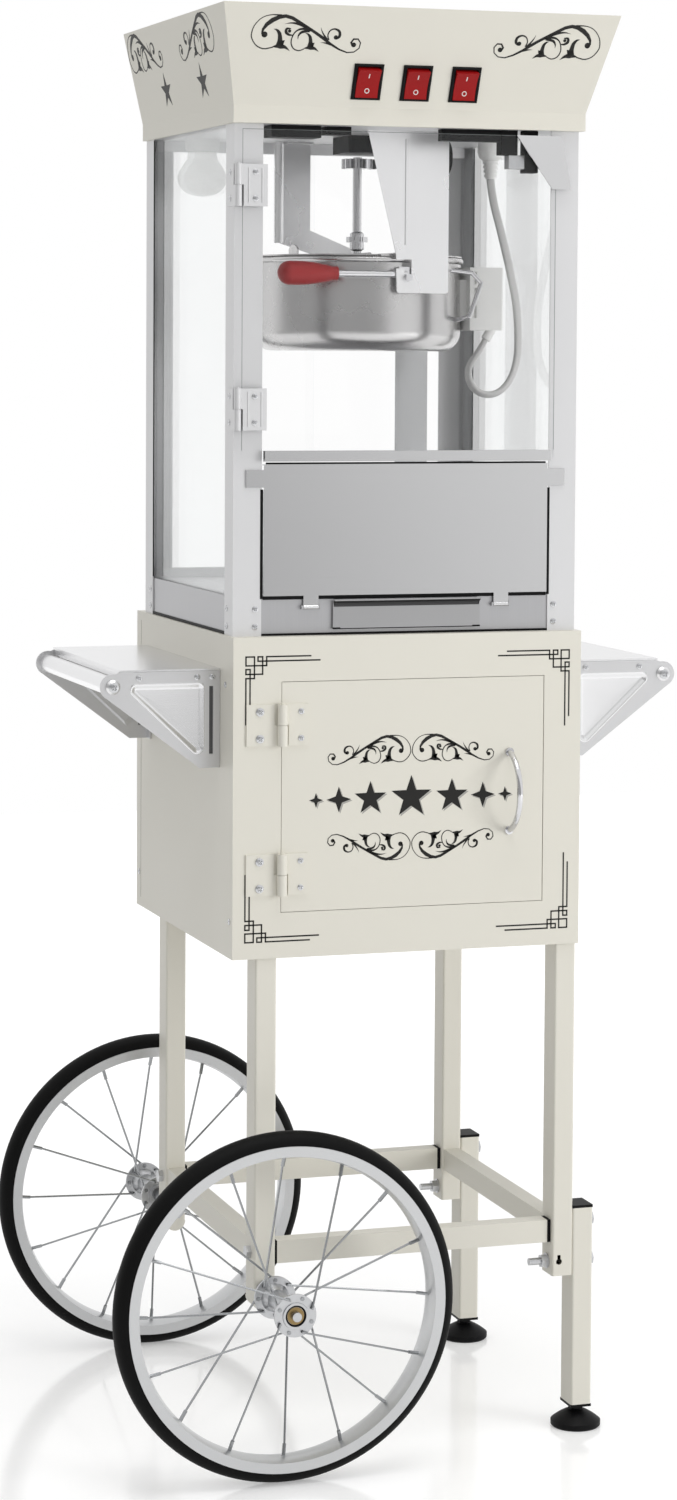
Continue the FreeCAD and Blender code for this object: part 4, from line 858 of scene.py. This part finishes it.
CART_FRONT_Y = -0.202
KEY_X, KEY_TOP, KEY_LOW = 0.186, 0.877, 0.5685
keys = []
for side in (-1, 1):
    for level, down in ((KEY_TOP, -1), (KEY_LOW, 1)):
        corner = (side * KEY_X + CART_SHIFT, CART_FRONT_Y, level)
        lay = flat_face(corner, (-side, 0, 0), (0, 0, down), MILLI)
        grids = inked(key_lines(), lay)
        if side * down > 0:  # this pair of axes raises the ink inwards, so it is mirrored to the outside
            grids = np.array([0, 2 * CART_FRONT_Y, 0]) + grids * np.array([1, -1, 1])
        keys.append(grids)
put_ink("corner_keys", np.concatenate(keys), "cart_and_cabinet")
print("corner keys", len(keys))

# %% Scrolls and stars on the roof
ROOF_KNEE = np.array([CART_SHIFT, -0.198, 1.466])
ROOF_UP = np.array([0, -0.043, 0.104]) / math.hypot(0.043, 0.104)
SIDE_UP = np.array([-0.0235, 0, 0.104]) / math.hypot(0.0235, 0.104)
ROOF_SCROLL, SIDE_SCROLL, SCROLL_UP = 0.123, 0.141, 0.079
ROOF_ENDS, SIDE_ENDS, SIDE_FOOT = (-0.191, 0.205), (-0.177, 0.177), 0.201
STAR_PLACES, STAR_UP, STAR_REACH, STAR_WAIST = (0.048, -0.101), 0.031, 0.021, 0.36


def mirrored_strokes(strokes, flip_x=1, flip_y=1):
    """Strokes with the sign of their places changed along each axis that flips."""
    return [line * np.array([flip_x, flip_y, 1]) for line in strokes]


def roof_ornament():
    """Two scrolls on the front, tails to the middle."""
    grids = []
    for end, flip in zip(ROOF_ENDS, (1, -1)):
        corner = ROOF_KNEE + np.array([end, 0, 0]) + SCROLL_UP * ROOF_UP
        lay = flat_face(corner, (1, 0, 0), ROOF_UP, ROOF_SCROLL / SCROLL_LENGTH)
        grids.append(inked(mirrored_strokes(SCROLL, flip), lay))
    return np.concatenate(grids)


def side_ornament(side):
    """Two scrolls on one side of the roof, and two stars below them."""
    up = SIDE_UP * np.array([-side, 0, 1])
    foot = np.array([CART_SHIFT + side * SIDE_FOOT, 0, ROOF_KNEE[2]])
    scrolls = []
    for end, flip in zip(SIDE_ENDS, (1, -1)):
        corner = foot + np.array([0, end, 0]) + SCROLL_UP * up
        lay = flat_face(corner, (0, side, 0), up, SIDE_SCROLL / SCROLL_LENGTH)
        scrolls.append(inked(mirrored_strokes(SCROLL, flip * side), lay))
    stars = [star(side * y, 0, STAR_REACH, STAR_WAIST) for y in STAR_PLACES]
    lay = flat_face(foot + STAR_UP * up, (0, side, 0), up)
    return np.concatenate(scrolls), stars_laid(stars, lay)


put_ink("roof_scrolls", roof_ornament(), "cart_and_cabinet")
for side, label in ((-1, "left"), (1, "right")):
    scrolls, stars = side_ornament(side)
    put_ink(f"roof_scrolls_{label}", scrolls, "cart_and_cabinet")
    put_ink(f"roof_stars_{label}", stars, "cart_and_cabinet")
print("roof ornament on three faces")

# %% Scrolls and stars on the cart's door
DOOR_MIDDLE = np.array([CART_SHIFT + 0.0025, CART_FRONT_Y, 0.720])
DOOR_SCROLL, DOOR_LIFT, DOOR_GAP = 0.0955, 0.052, 0.0006
SHADE_AT = DOOR_MIDDLE + np.array([0.0016, 0, -0.0016])


def door_scrolls():
    """Four scrolls, big loops to the middle: two above the row of stars and two, upside down, below it."""
    grids = []
    for flip_y in (1, -1):
        for flip_x in (-1, 1):
            middle = DOOR_MIDDLE + np.array([DOOR_GAP * flip_x, 0, DOOR_LIFT * flip_y])
            lay = flat_face(middle, (1, 0, 0), (0, 0, 1), DOOR_SCROLL / SCROLL_LENGTH)
            grids.append(inked(mirrored_strokes(SCROLL, flip_x, flip_y), lay))
    return np.concatenate(grids)


def door_stars(lay, high):
    """Three stars in the middle of the row, and two four-pointed ones at either end."""
    five = [star(0, 0, 0.024, 0.40), star(-0.047, 0, 0.019, 0.40), star(0.047, 0, 0.019, 0.40)]
    four = [star(side * x, 0, r, 0.36, 4) for side in (-1, 1) for x, r in ((0.083, 0.014), (0.109, 0.008))]
    return stars_laid(five, lay, high), stars_laid(four, lay, high)


put_ink("door_scrolls", door_scrolls(), "cart_door")
for label, at, ink, high in (("ink", DOOR_MIDDLE, INK, INK_HIGH),
                             ("shade", SHADE_AT, SHADOW_INK, 0.6 * INK_HIGH)):
    five, four = door_stars(flat_face(at, (1, 0, 0), (0, 0, 1)), high)
    put_ink(f"door_stars_{label}", five, "cart_door", ink)
    put_ink(f"door_diamonds_{label}", four, "cart_door", ink)
print("ornament done")

# %% [markdown]
# ## Small fasteners and fittings
# Hinges, posts, brackets and side panels are held by cross-head screws. A screw head is a low dome over a
# disc, sunk where the point lies within the two arms of the cross. One formula on a polar grid gives all
# of them, set on a face by its normal.

# %% Screws
SCREW = plated_steel("screw_steel", tone(214, 215, 217), 0.26)


def in_frame(points):
    """Millimetres from the cart's middle as metres in the frame."""
    return np.asarray(points, float) * MILLI + np.array([CART_SHIFT, 0, 0])


def screw_heads(places, radius):
    """Domes at the places, each a point and a normal; depth is taken off inside the arms of the cross."""
    ring = np.array([0, 0.12, 0.25, 0.38, 0.5, 0.58, 0.62, 0.8, 0.93, 1.0, 1.0, 0.0])
    turn = np.linspace(0, 2 * np.pi, 32, endpoint=False)
    x, y = ring[:, None] * np.cos(turn), ring[:, None] * np.sin(turn)
    dome = 0.42 * np.sqrt(np.maximum(1 - 0.72 * ring ** 2, 0))[:, None]
    arms = (np.minimum(abs(x), abs(y)) < 0.15) & (np.maximum(abs(x), abs(y)) < 0.6)
    height = np.where(arms, dome - 0.26, dome)
    height[-2:] = -0.05
    grids = []
    for point, normal in places:
        normal = np.asarray(normal, float)
        across = np.cross((0, 0, 1), normal)
        up = np.cross(normal, across)
        flat = x[..., None] * (0.8 * across + 0.6 * up) + y[..., None] * (0.8 * up - 0.6 * across)
        grids.append(in_frame(point) + radius * MILLI * (flat + height[..., None] * normal))
    return np.stack(grids)


def put_screws(name, places, radius, body):
    """A set of screws as one piece."""
    screws = piece_from(name, screw_heads(places, radius), SCREW, body, wrap_v=True, slot="bright_steel")
    return smooth(screws, 35)


FRONT, LEFT = (0, -1, 0), (-1, 0, 0)
SIDES = (-1, 1)
CORNERS = [(side, end) for side in SIDES for end in SIDES]
CART_HINGE_Z, GLASS_HINGE_Z, POST_SCREW_Z = (803, 641), (1381, 1142), (908, 927)
cart_z = [z + lift for z in CART_HINGE_Z for lift in (-14.5, 14.5)]
glass_z = [z + lift for z in GLASS_HINGE_Z for lift in (-14.0, 14.0)]
put_screws("hinge_screws_frame", [((-170.5, -204, z), FRONT) for z in cart_z], 4.6, "cart_and_cabinet")
put_screws("hinge_screws_door", [((-124.2, -204, z), FRONT) for z in cart_z], 3.3, "cart_door")
put_screws("glass_hinge_screws_post", [((-199, -179, z), LEFT) for z in glass_z], 3.2, "cart_and_cabinet")
put_screws("glass_hinge_screws_door", [((-176, -197, z), FRONT) for z in glass_z], 3.2, "glass_door")
on_posts = [((side * 172, -188, z), FRONT) for side in SIDES for z in POST_SCREW_Z]
on_posts += [((side * 197, y, z), (side, 0, 0)) for side in SIDES for y in (-165, 153) for z in POST_SCREW_Z]
put_screws("post_screws", on_posts, 3.4, "cart_and_cabinet")
on_cart = [((side * x, end * 152, 852), (0, end, 0)) for side, end in CORNERS for x in (209, 226, 291)]
on_cart += [((side * 200, y, z), (side, 0, 0)) for side in SIDES
            for y, z in ((-190, 590), (190, 590), (-173, 845), (173, 845))]
put_screws("cart_screws", on_cart, 3.4, "cart_and_cabinet")
on_bars = [((side * 320, end * 155.9, 843), (0, end, 0)) for side, end in CORNERS]
put_screws("bar_screws", on_bars, 5.6, "cart_and_cabinet")
print("screws", 2 * len(cart_z) + 2 * len(glass_z) + len(on_posts) + len(on_cart) + len(on_bars))

# %% [markdown]
# Flat strips and blocks fill in what is too thin to be worth a solid: the black seals round the
# base and the serving panel, the magnetic catch and the wiring boxes under the roof, the pull strip of
# the rear door, the ground edges of the glass, and the dark seams between sheets. Black and dark slabs
# in the gaps under the serving panel and above the drawer, at the drawer's foot, below the glass door's
# rail and behind the brackets' slots are painted shade.


# %% Strips and blocks
def blocks(boxes, ease=0.3):
    """Boxes (x0, x1, y0, y1, z0, z1) in millimetres with eased edges: a ring of eight points, carried up."""
    grids = []
    for x0, x1, y0, y1, z0, z1 in boxes:
        e = min(ease, 0.3 * min(x1 - x0, y1 - y0, z1 - z0))
        ring = np.array([(x0 + e, y0), (x1 - e, y0), (x1, y0 + e), (x1, y1 - e), (x1 - e, y1), (x0 + e, y1),
                         (x0, y1 - e), (x0, y0 + e)])
        middle = ring.mean(axis=0)
        inner = middle + (ring - middle) * (1 - 2 * e / np.array([x1 - x0, y1 - y0]))
        pole = middle + 0 * ring
        rows = [(pole, z0), (inner, z0), (ring, z0 + e), (ring, z1 - e), (inner, z1), (pole, z1)]
        grids.append([np.column_stack([flat, np.full(8, z)]) for flat, z in rows])
    return in_frame(grids)


def put_blocks(name, boxes, finish=BLACK, body="cart_and_cabinet", slot="black_plastic"):
    """A set of boxes as one piece."""
    return piece_from(name, blocks(boxes), finish, body, wrap_v=True, slot=slot)


# A dark finish for the painted shade behind the brackets' slots.
SLOT_SHADE_STEEL = brushed_metal("slot_painted_shade", tone(96, 96, 98), 0.35)
GLASS_EDGE = moulded("ground_edge", tone(120, 124, 124), 0.5, 500.0, 0.05)
SEAM = powder_coat("seam_shade", tone(150, 147, 136), 0.6)
DRAWER_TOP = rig.box("kernel_drawer")[1][2] / MILLI
base_seals = [(-165, 165, -187.8, -186.5, 898.05, 900.4)]
base_seals += [(side * 165 - 1.6, side * 165 + 1.6, -188.35, -187.9, 938, 1056) for side in SIDES]
# Black slabs of painted shade: the dark line under the serving panel and the shade above the drawer's top edge.
shadow_gaps = [(-163, 163, -188.1, -186.3, 937, 940.9),
               (-83, 83, -187.6, -186.3, DRAWER_TOP, DRAWER_TOP + 4.2)]
put_blocks("base_seal_and_painted_shade", base_seals + shadow_gaps)
# Black strips on the drawer's foot are painted shade: the dark inside of its corner slots and the line between them.
drawer_slot_shades = [(-85, -76, -190.9, -189.6, 904.2, 906), (76, 85, -190.9, -189.6, 904.2, 906),
                (-84, 84, -190.7, -189.6, 904.2, 905.1)]
put_blocks("drawer_slot_shades", drawer_slot_shades, body="kernel_drawer")
# A black strip of painted shadow on the serving panel, below the glass door's bottom rail.
put_blocks("panel_shadow_strip", [(-161, 161, -189.9, -188.6, 1082.9, 1085)], body="serving_panel")
side_seals = [(side * x - 0.5, side * x + 0.5, *span) for side in SIDES
              for x, span in ((196.4, (-155.5, 143.5, 898.05, 901.2)), (196.7, (141.2, 143.8, 942, 1446)))]
put_blocks("side_seals", side_seals)
catch = [(108, 127, -184, -168, 1420, 1446.9), (136, 151, -184, -168, 1401, 1446.9)]
wiring = [(40, 108, -182, -168, 1434, 1446.9), (-152, -96, -176, -146, 1434, 1446.9),
          (-88, -60, -170, -150, 1438, 1446.9)]
put_blocks("roof_fittings", catch + wiring)
put_blocks("catch_plate", [(117, 135.5, -183, -169, 1405, 1419.9)], ZINC, slot="bright_steel")
pull = [(105.1, 145.5, 159.9, 161.4, 953, 1432)]
put_blocks("rear_pull", pull, STAINLESS, "rear_door_right", "silver_sheet")
glass_edges = [(-190.1, -189.6, -195.2, -194.8, 1098, 1440.9), (167.5, 168.0, -195.2, -194.8, 1098, 1383),
               (-189.6, 120, -195.2, -194.8, 1440.4, 1440.9)]
put_blocks("glass_edges", glass_edges, GLASS_EDGE, "glass_door", "clear_glass")
side_seams = [(side * 200.1 - 0.1, side * 200.1 + 0.1, 182.6, 183.2, 561, 888) for side in SIDES]
put_blocks("side_seams", side_seams, SEAM, slot="cream_paint")
# Dark slabs behind the brackets' cut-through slots: painted shade inside the slots.
bracket_slot_shades = [sorted((side * 208.1, side * 212.4)) + sorted((end * 150.6, end * 151.2)) + [768.2, 841.8]
                 for side, end in CORNERS]
put_blocks("bracket_slot_shades", bracket_slot_shades, SLOT_SHADE_STEEL, slot="bright_steel")
print("drawer top", round(DRAWER_TOP, 1), "mm, strips and blocks placed")

# %% [markdown]
# The drawer's upper edge is rolled forward and lies in its own shade, which is painted on a dark skin over the
# lip. The skin is one outline, carried across the drawer.

# %% Painted shade on the lip of the drawer
# A dark finish: painted shade on the rolled lip.
LIP_PAINTED_SHADE = brushed_metal("lip_shade", tone(72, 72, 73), 0.4)
LIP_HALF = 83.6
LIP_OUTLINE = np.array([
    (-190.55, 928.4), (-190.9, 930.6), (-192.1, 932.6), (-194.0, 934.0), (-196.2, 934.7), (-196.35, 934.95),
    (-194.0, 934.4), (-191.6, 932.9), (-190.3, 930.4), (-190.1, 928.4)])


def rolled_lip():
    """The outline in Y and Z at both ends of the lip, closed there by its middle point."""
    middle = LIP_OUTLINE.mean(axis=0) + 0 * LIP_OUTLINE
    rows = [(-LIP_HALF, middle), (-LIP_HALF, LIP_OUTLINE), (LIP_HALF, LIP_OUTLINE), (LIP_HALF, middle)]
    return in_frame([np.column_stack([np.full(len(flat), x), flat]) for x, flat in rows])


# A dark skin laid over the drawer's lip: painted shade.
piece_from("drawer_lip_painted_shade", rolled_lip(), LIP_PAINTED_SHADE, "kernel_drawer", wrap_v=True, slot="stainless")
print("lip", 2 * LIP_HALF, "mm wide")

# %% [markdown]
# The shelf brackets are stiffened by a pressed hollow with rolled edges, which catch the light along the
# slanting side. The hollow also takes the lighter, glossier shelf sheet while the flat face takes a darker
# copy of it, a painted highlight. Its skin is a polygon with rounded corners that shrinks row by row: each
# corner is an arc about a fixed centre, its radius falls with the inset, and the depth follows a smooth step.
# Below each shelf's top a thin dark line is painted shadow under the folded hem.


# %% Pressed hollows and painted hem shadows of the shelves
def pressed_skin(corners, radius, insets, depths, face, end):
    """Rows of rounded polygons: arcs about the corners' centres, with the radius less the inset."""
    corners = np.asarray(corners, float)
    before = corners - np.roll(corners, 1, axis=0)
    before /= np.linalg.norm(before, axis=1, keepdims=True)
    inward = np.column_stack([-before[:, 1], before[:, 0]])
    after = np.roll(inward, -1, axis=0)
    centres = corners + radius * (inward + after) / (1 + (inward * after).sum(axis=1, keepdims=True))
    share = np.linspace(0, 1, 6)[None, :, None]
    way = -(inward[:, None] * (1 - share) + after[:, None] * share)
    way /= np.linalg.norm(way, axis=-1, keepdims=True)
    rows = []
    for inset, depth in zip(insets, depths):
        flat = (centres[:, None] + (radius - min(inset, radius)) * way).reshape(-1, 2)
        if inset > radius:
            flat = np.broadcast_to(corners.mean(axis=0), flat.shape)
        rows.append(np.column_stack([flat[:, 0], np.full(len(flat), face - end * depth), flat[:, 1]]))
    return np.array(rows)


PRESS = [(218.3, 845), (218.3, 773), (226.3, 767), (300, 836), (300, 845)]
PRESS_RADIUS, BRACKET_FACE = 6.0, 152.0
HEM_SHADOW_Z, HEM_SHADOW_FROM, HEM_SHADOW_TO, HEM_SHADOW_WIDE, HEM_SHADOW_HIGH = 859.2, 204, 296, 0.7, 0.0009
slope = np.array([-1.0, -0.6, 0.4, 1.4, 2.4, 3.4, 4.4, 5.4, 6.0, 9.0])
gone = np.clip((slope + 0.6) / 6.4, 0, 1)
sunk = -0.2 + 2.6 * gone ** 2 * (3 - 2 * gone)
sunk[0] = 0.05
insets, depths = np.append(slope, [9.0, 5.9, -1.0]), np.append(sunk, [2.75, 2.75, 0.3])
presses, hem_shadows = [], []
for side, end in CORNERS:
    skin = pressed_skin(PRESS, PRESS_RADIUS, insets, depths, end * BRACKET_FACE, end)
    presses.append(in_frame(skin * np.array([side, 1, 1])))
    lay = flat_face((CART_SHIFT, end * BRACKET_FACE * MILLI, 0), (-end, 0, 0), (0, 0, 1), MILLI)
    # A thin ink line below the shelf top: painted shadow under the folded hem.
    hem_shadow = straight(-end * side * HEM_SHADOW_FROM, HEM_SHADOW_Z, -end * side * HEM_SHADOW_TO, HEM_SHADOW_Z, HEM_SHADOW_WIDE)
    hem_shadows.append(inked([hem_shadow], lay, HEM_SHADOW_HIGH))
# The hollows take the lighter, glossier shelf sheet rather than the bracket's: a painted highlight.
smooth(piece_from("bracket_presses", np.array(presses), SHELF_METAL, "cart_and_cabinet", wrap_v=True,
                  slot="bright_steel"), 50)
put_ink("shelf_hem_shadows", np.concatenate(hem_shadows), "cart_and_cabinet")
print("pressed hollows", len(presses))

# %% [markdown]
# ## Lamp and hubs
# The lamp's solid is plain, so a pear-shaped skin of frosted glass takes its place. Each hub shows a black
# seal that turns with the wheel and, inside it, the brass ring of a bearing that stays on the axle.


# %% Lamp bulb
BULB_AT = np.array([-148.0, 112.0, 1381.0])


def pear_bulb():
    """A pear-shaped bulb: a radius for each height, smoothed, turned about the upright axis."""
    outline = smooth_through([(0.0, 0.0), (15.0, 3.0), (24.0, 9.5), (28.0, 18.0), (27.4, 26.0), (23.0, 35.0),
                              (17.6, 43.0), (15.0, 52.0), (0.0, 52.0)], 56)
    turn = np.linspace(0, 2 * np.pi, 40, endpoint=False)
    radius, height = np.maximum(outline[:, :1], 0), outline[:, 1:]
    rings = np.stack([radius * np.cos(turn), radius * np.sin(turn), height + 0 * turn], axis=-1)
    return in_frame(BULB_AT + rings)


bulb = piece_from("lamp_bulb_pear", pear_bulb(), BULB, "cart_and_cabinet", wrap_v=True, slot="white_plastic")
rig.replaces(smooth(bulb), "lamp_bulb")
print("bulb", len(bulb.data.vertices), "points")

# %% Wheel hubs
WHEEL_X, WHEEL_Z = -161, 189
BRASS = plated_steel("bearing_brass", tone(150, 128, 88), 0.3)


def turned_ring(inner, outer, y0, y1, columns=40):
    """A flat ring about the wheels' axis, between two radii and two distances along Y, in millimetres."""
    turn = np.linspace(0, 2 * np.pi, columns, endpoint=False)
    radius = np.array([inner, outer, outer, inner])[:, None]
    along = np.array([y0, y0, y1, y1])[:, None] + 0 * turn
    x, z = WHEEL_X + radius * np.cos(turn), WHEEL_Z + radius * np.sin(turn)
    return in_frame(np.stack([x, along, z], axis=-1))


def put_ring(name, ring, finish, body, slot):
    """A ring as a piece, closed round the axis and round its section."""
    return piece_from(name, ring, finish, body, wrap_u=True, wrap_v=True, slot=slot)


for label, way in (("front", -1), ("rear", 1)):
    seal = turned_ring(9.9, 11.45, way * 309, way * 313.2)
    put_ring(f"{label}_hub_seal", seal, BLACK, f"{label}_wheel", "black_plastic")
    bearing = turned_ring(5.1, 9.3, way * 312.3, way * 313.0)
    put_ring(f"{label}_bearing", bearing, BRASS, "cart_and_cabinet", "bright_steel")
print("hub rings placed")

# %% [markdown]
# ## Marks on the switches
# Each rocker has a bar on its upper half and a ring on its lower half. They are pen strokes again, laid on
# the rocker's hollow face: a circle's arc along the slope, turned by the rocker's tilt about its pin.

# %% Switch marks
SWITCH_X, SWITCH_UP, ROCKER_PIVOT = (-55.5, 0.0, 55.5), 29.2, -3.0
ROCKER_TILT, ROCKER_FACE, ROCKER_ARC = math.radians(7.0), 3.0, 52.45
RING_RADIUS, RING_UP = 2.4, -8.6
ROOF_OUT = np.cross((1, 0, 0), ROOF_UP)
PALE_INK = moulded("pale_ink", tone(236, 230, 228), 0.5, 900.0, 0.03)


def on_rocker(x):
    """Lays a drawing in millimetres on the rocker's face."""
    c, s = math.cos(ROCKER_TILT), math.sin(ROCKER_TILT)

    def lay(across, up, height):
        hollow = ROCKER_ARC - np.sqrt(ROCKER_ARC ** 2 - up ** 2)
        out = ROCKER_FACE + hollow + height / MILLI - ROCKER_PIVOT
        along = SWITCH_UP + up * c - out * s
        away = ROCKER_PIVOT + up * s + out * c
        sideways = (across + x)[..., None] * np.array([1.0, 0, 0])
        return ROOF_KNEE + MILLI * (sideways + along[..., None] * ROOF_UP + away[..., None] * ROOF_OUT)
    return lay


off_ring = pen(*[(RING_RADIUS * np.cos(turn), RING_UP + RING_RADIUS * np.sin(turn), 0.9)
                 for turn in np.linspace(0, 2 * np.pi, 9)])
on_bar = straight(0, 6.2, 0, 11.4, 1.1)
for label, x in zip(("left", "middle", "right"), SWITCH_X):
    marks = inked([off_ring, on_bar], on_rocker(x))
    piece_from(f"rocker_marks_{label}", marks, PALE_INK, f"rocker_{label}", wrap_v=True, slot="white_plastic")
print("switch marks done")

# %% Sizes of the solids and of the dressed object
with open("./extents.json", "w") as sizes:
    json.dump({"cad": CAD_BOX, "visual": [list(corner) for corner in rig.bounds()]}, sizes)
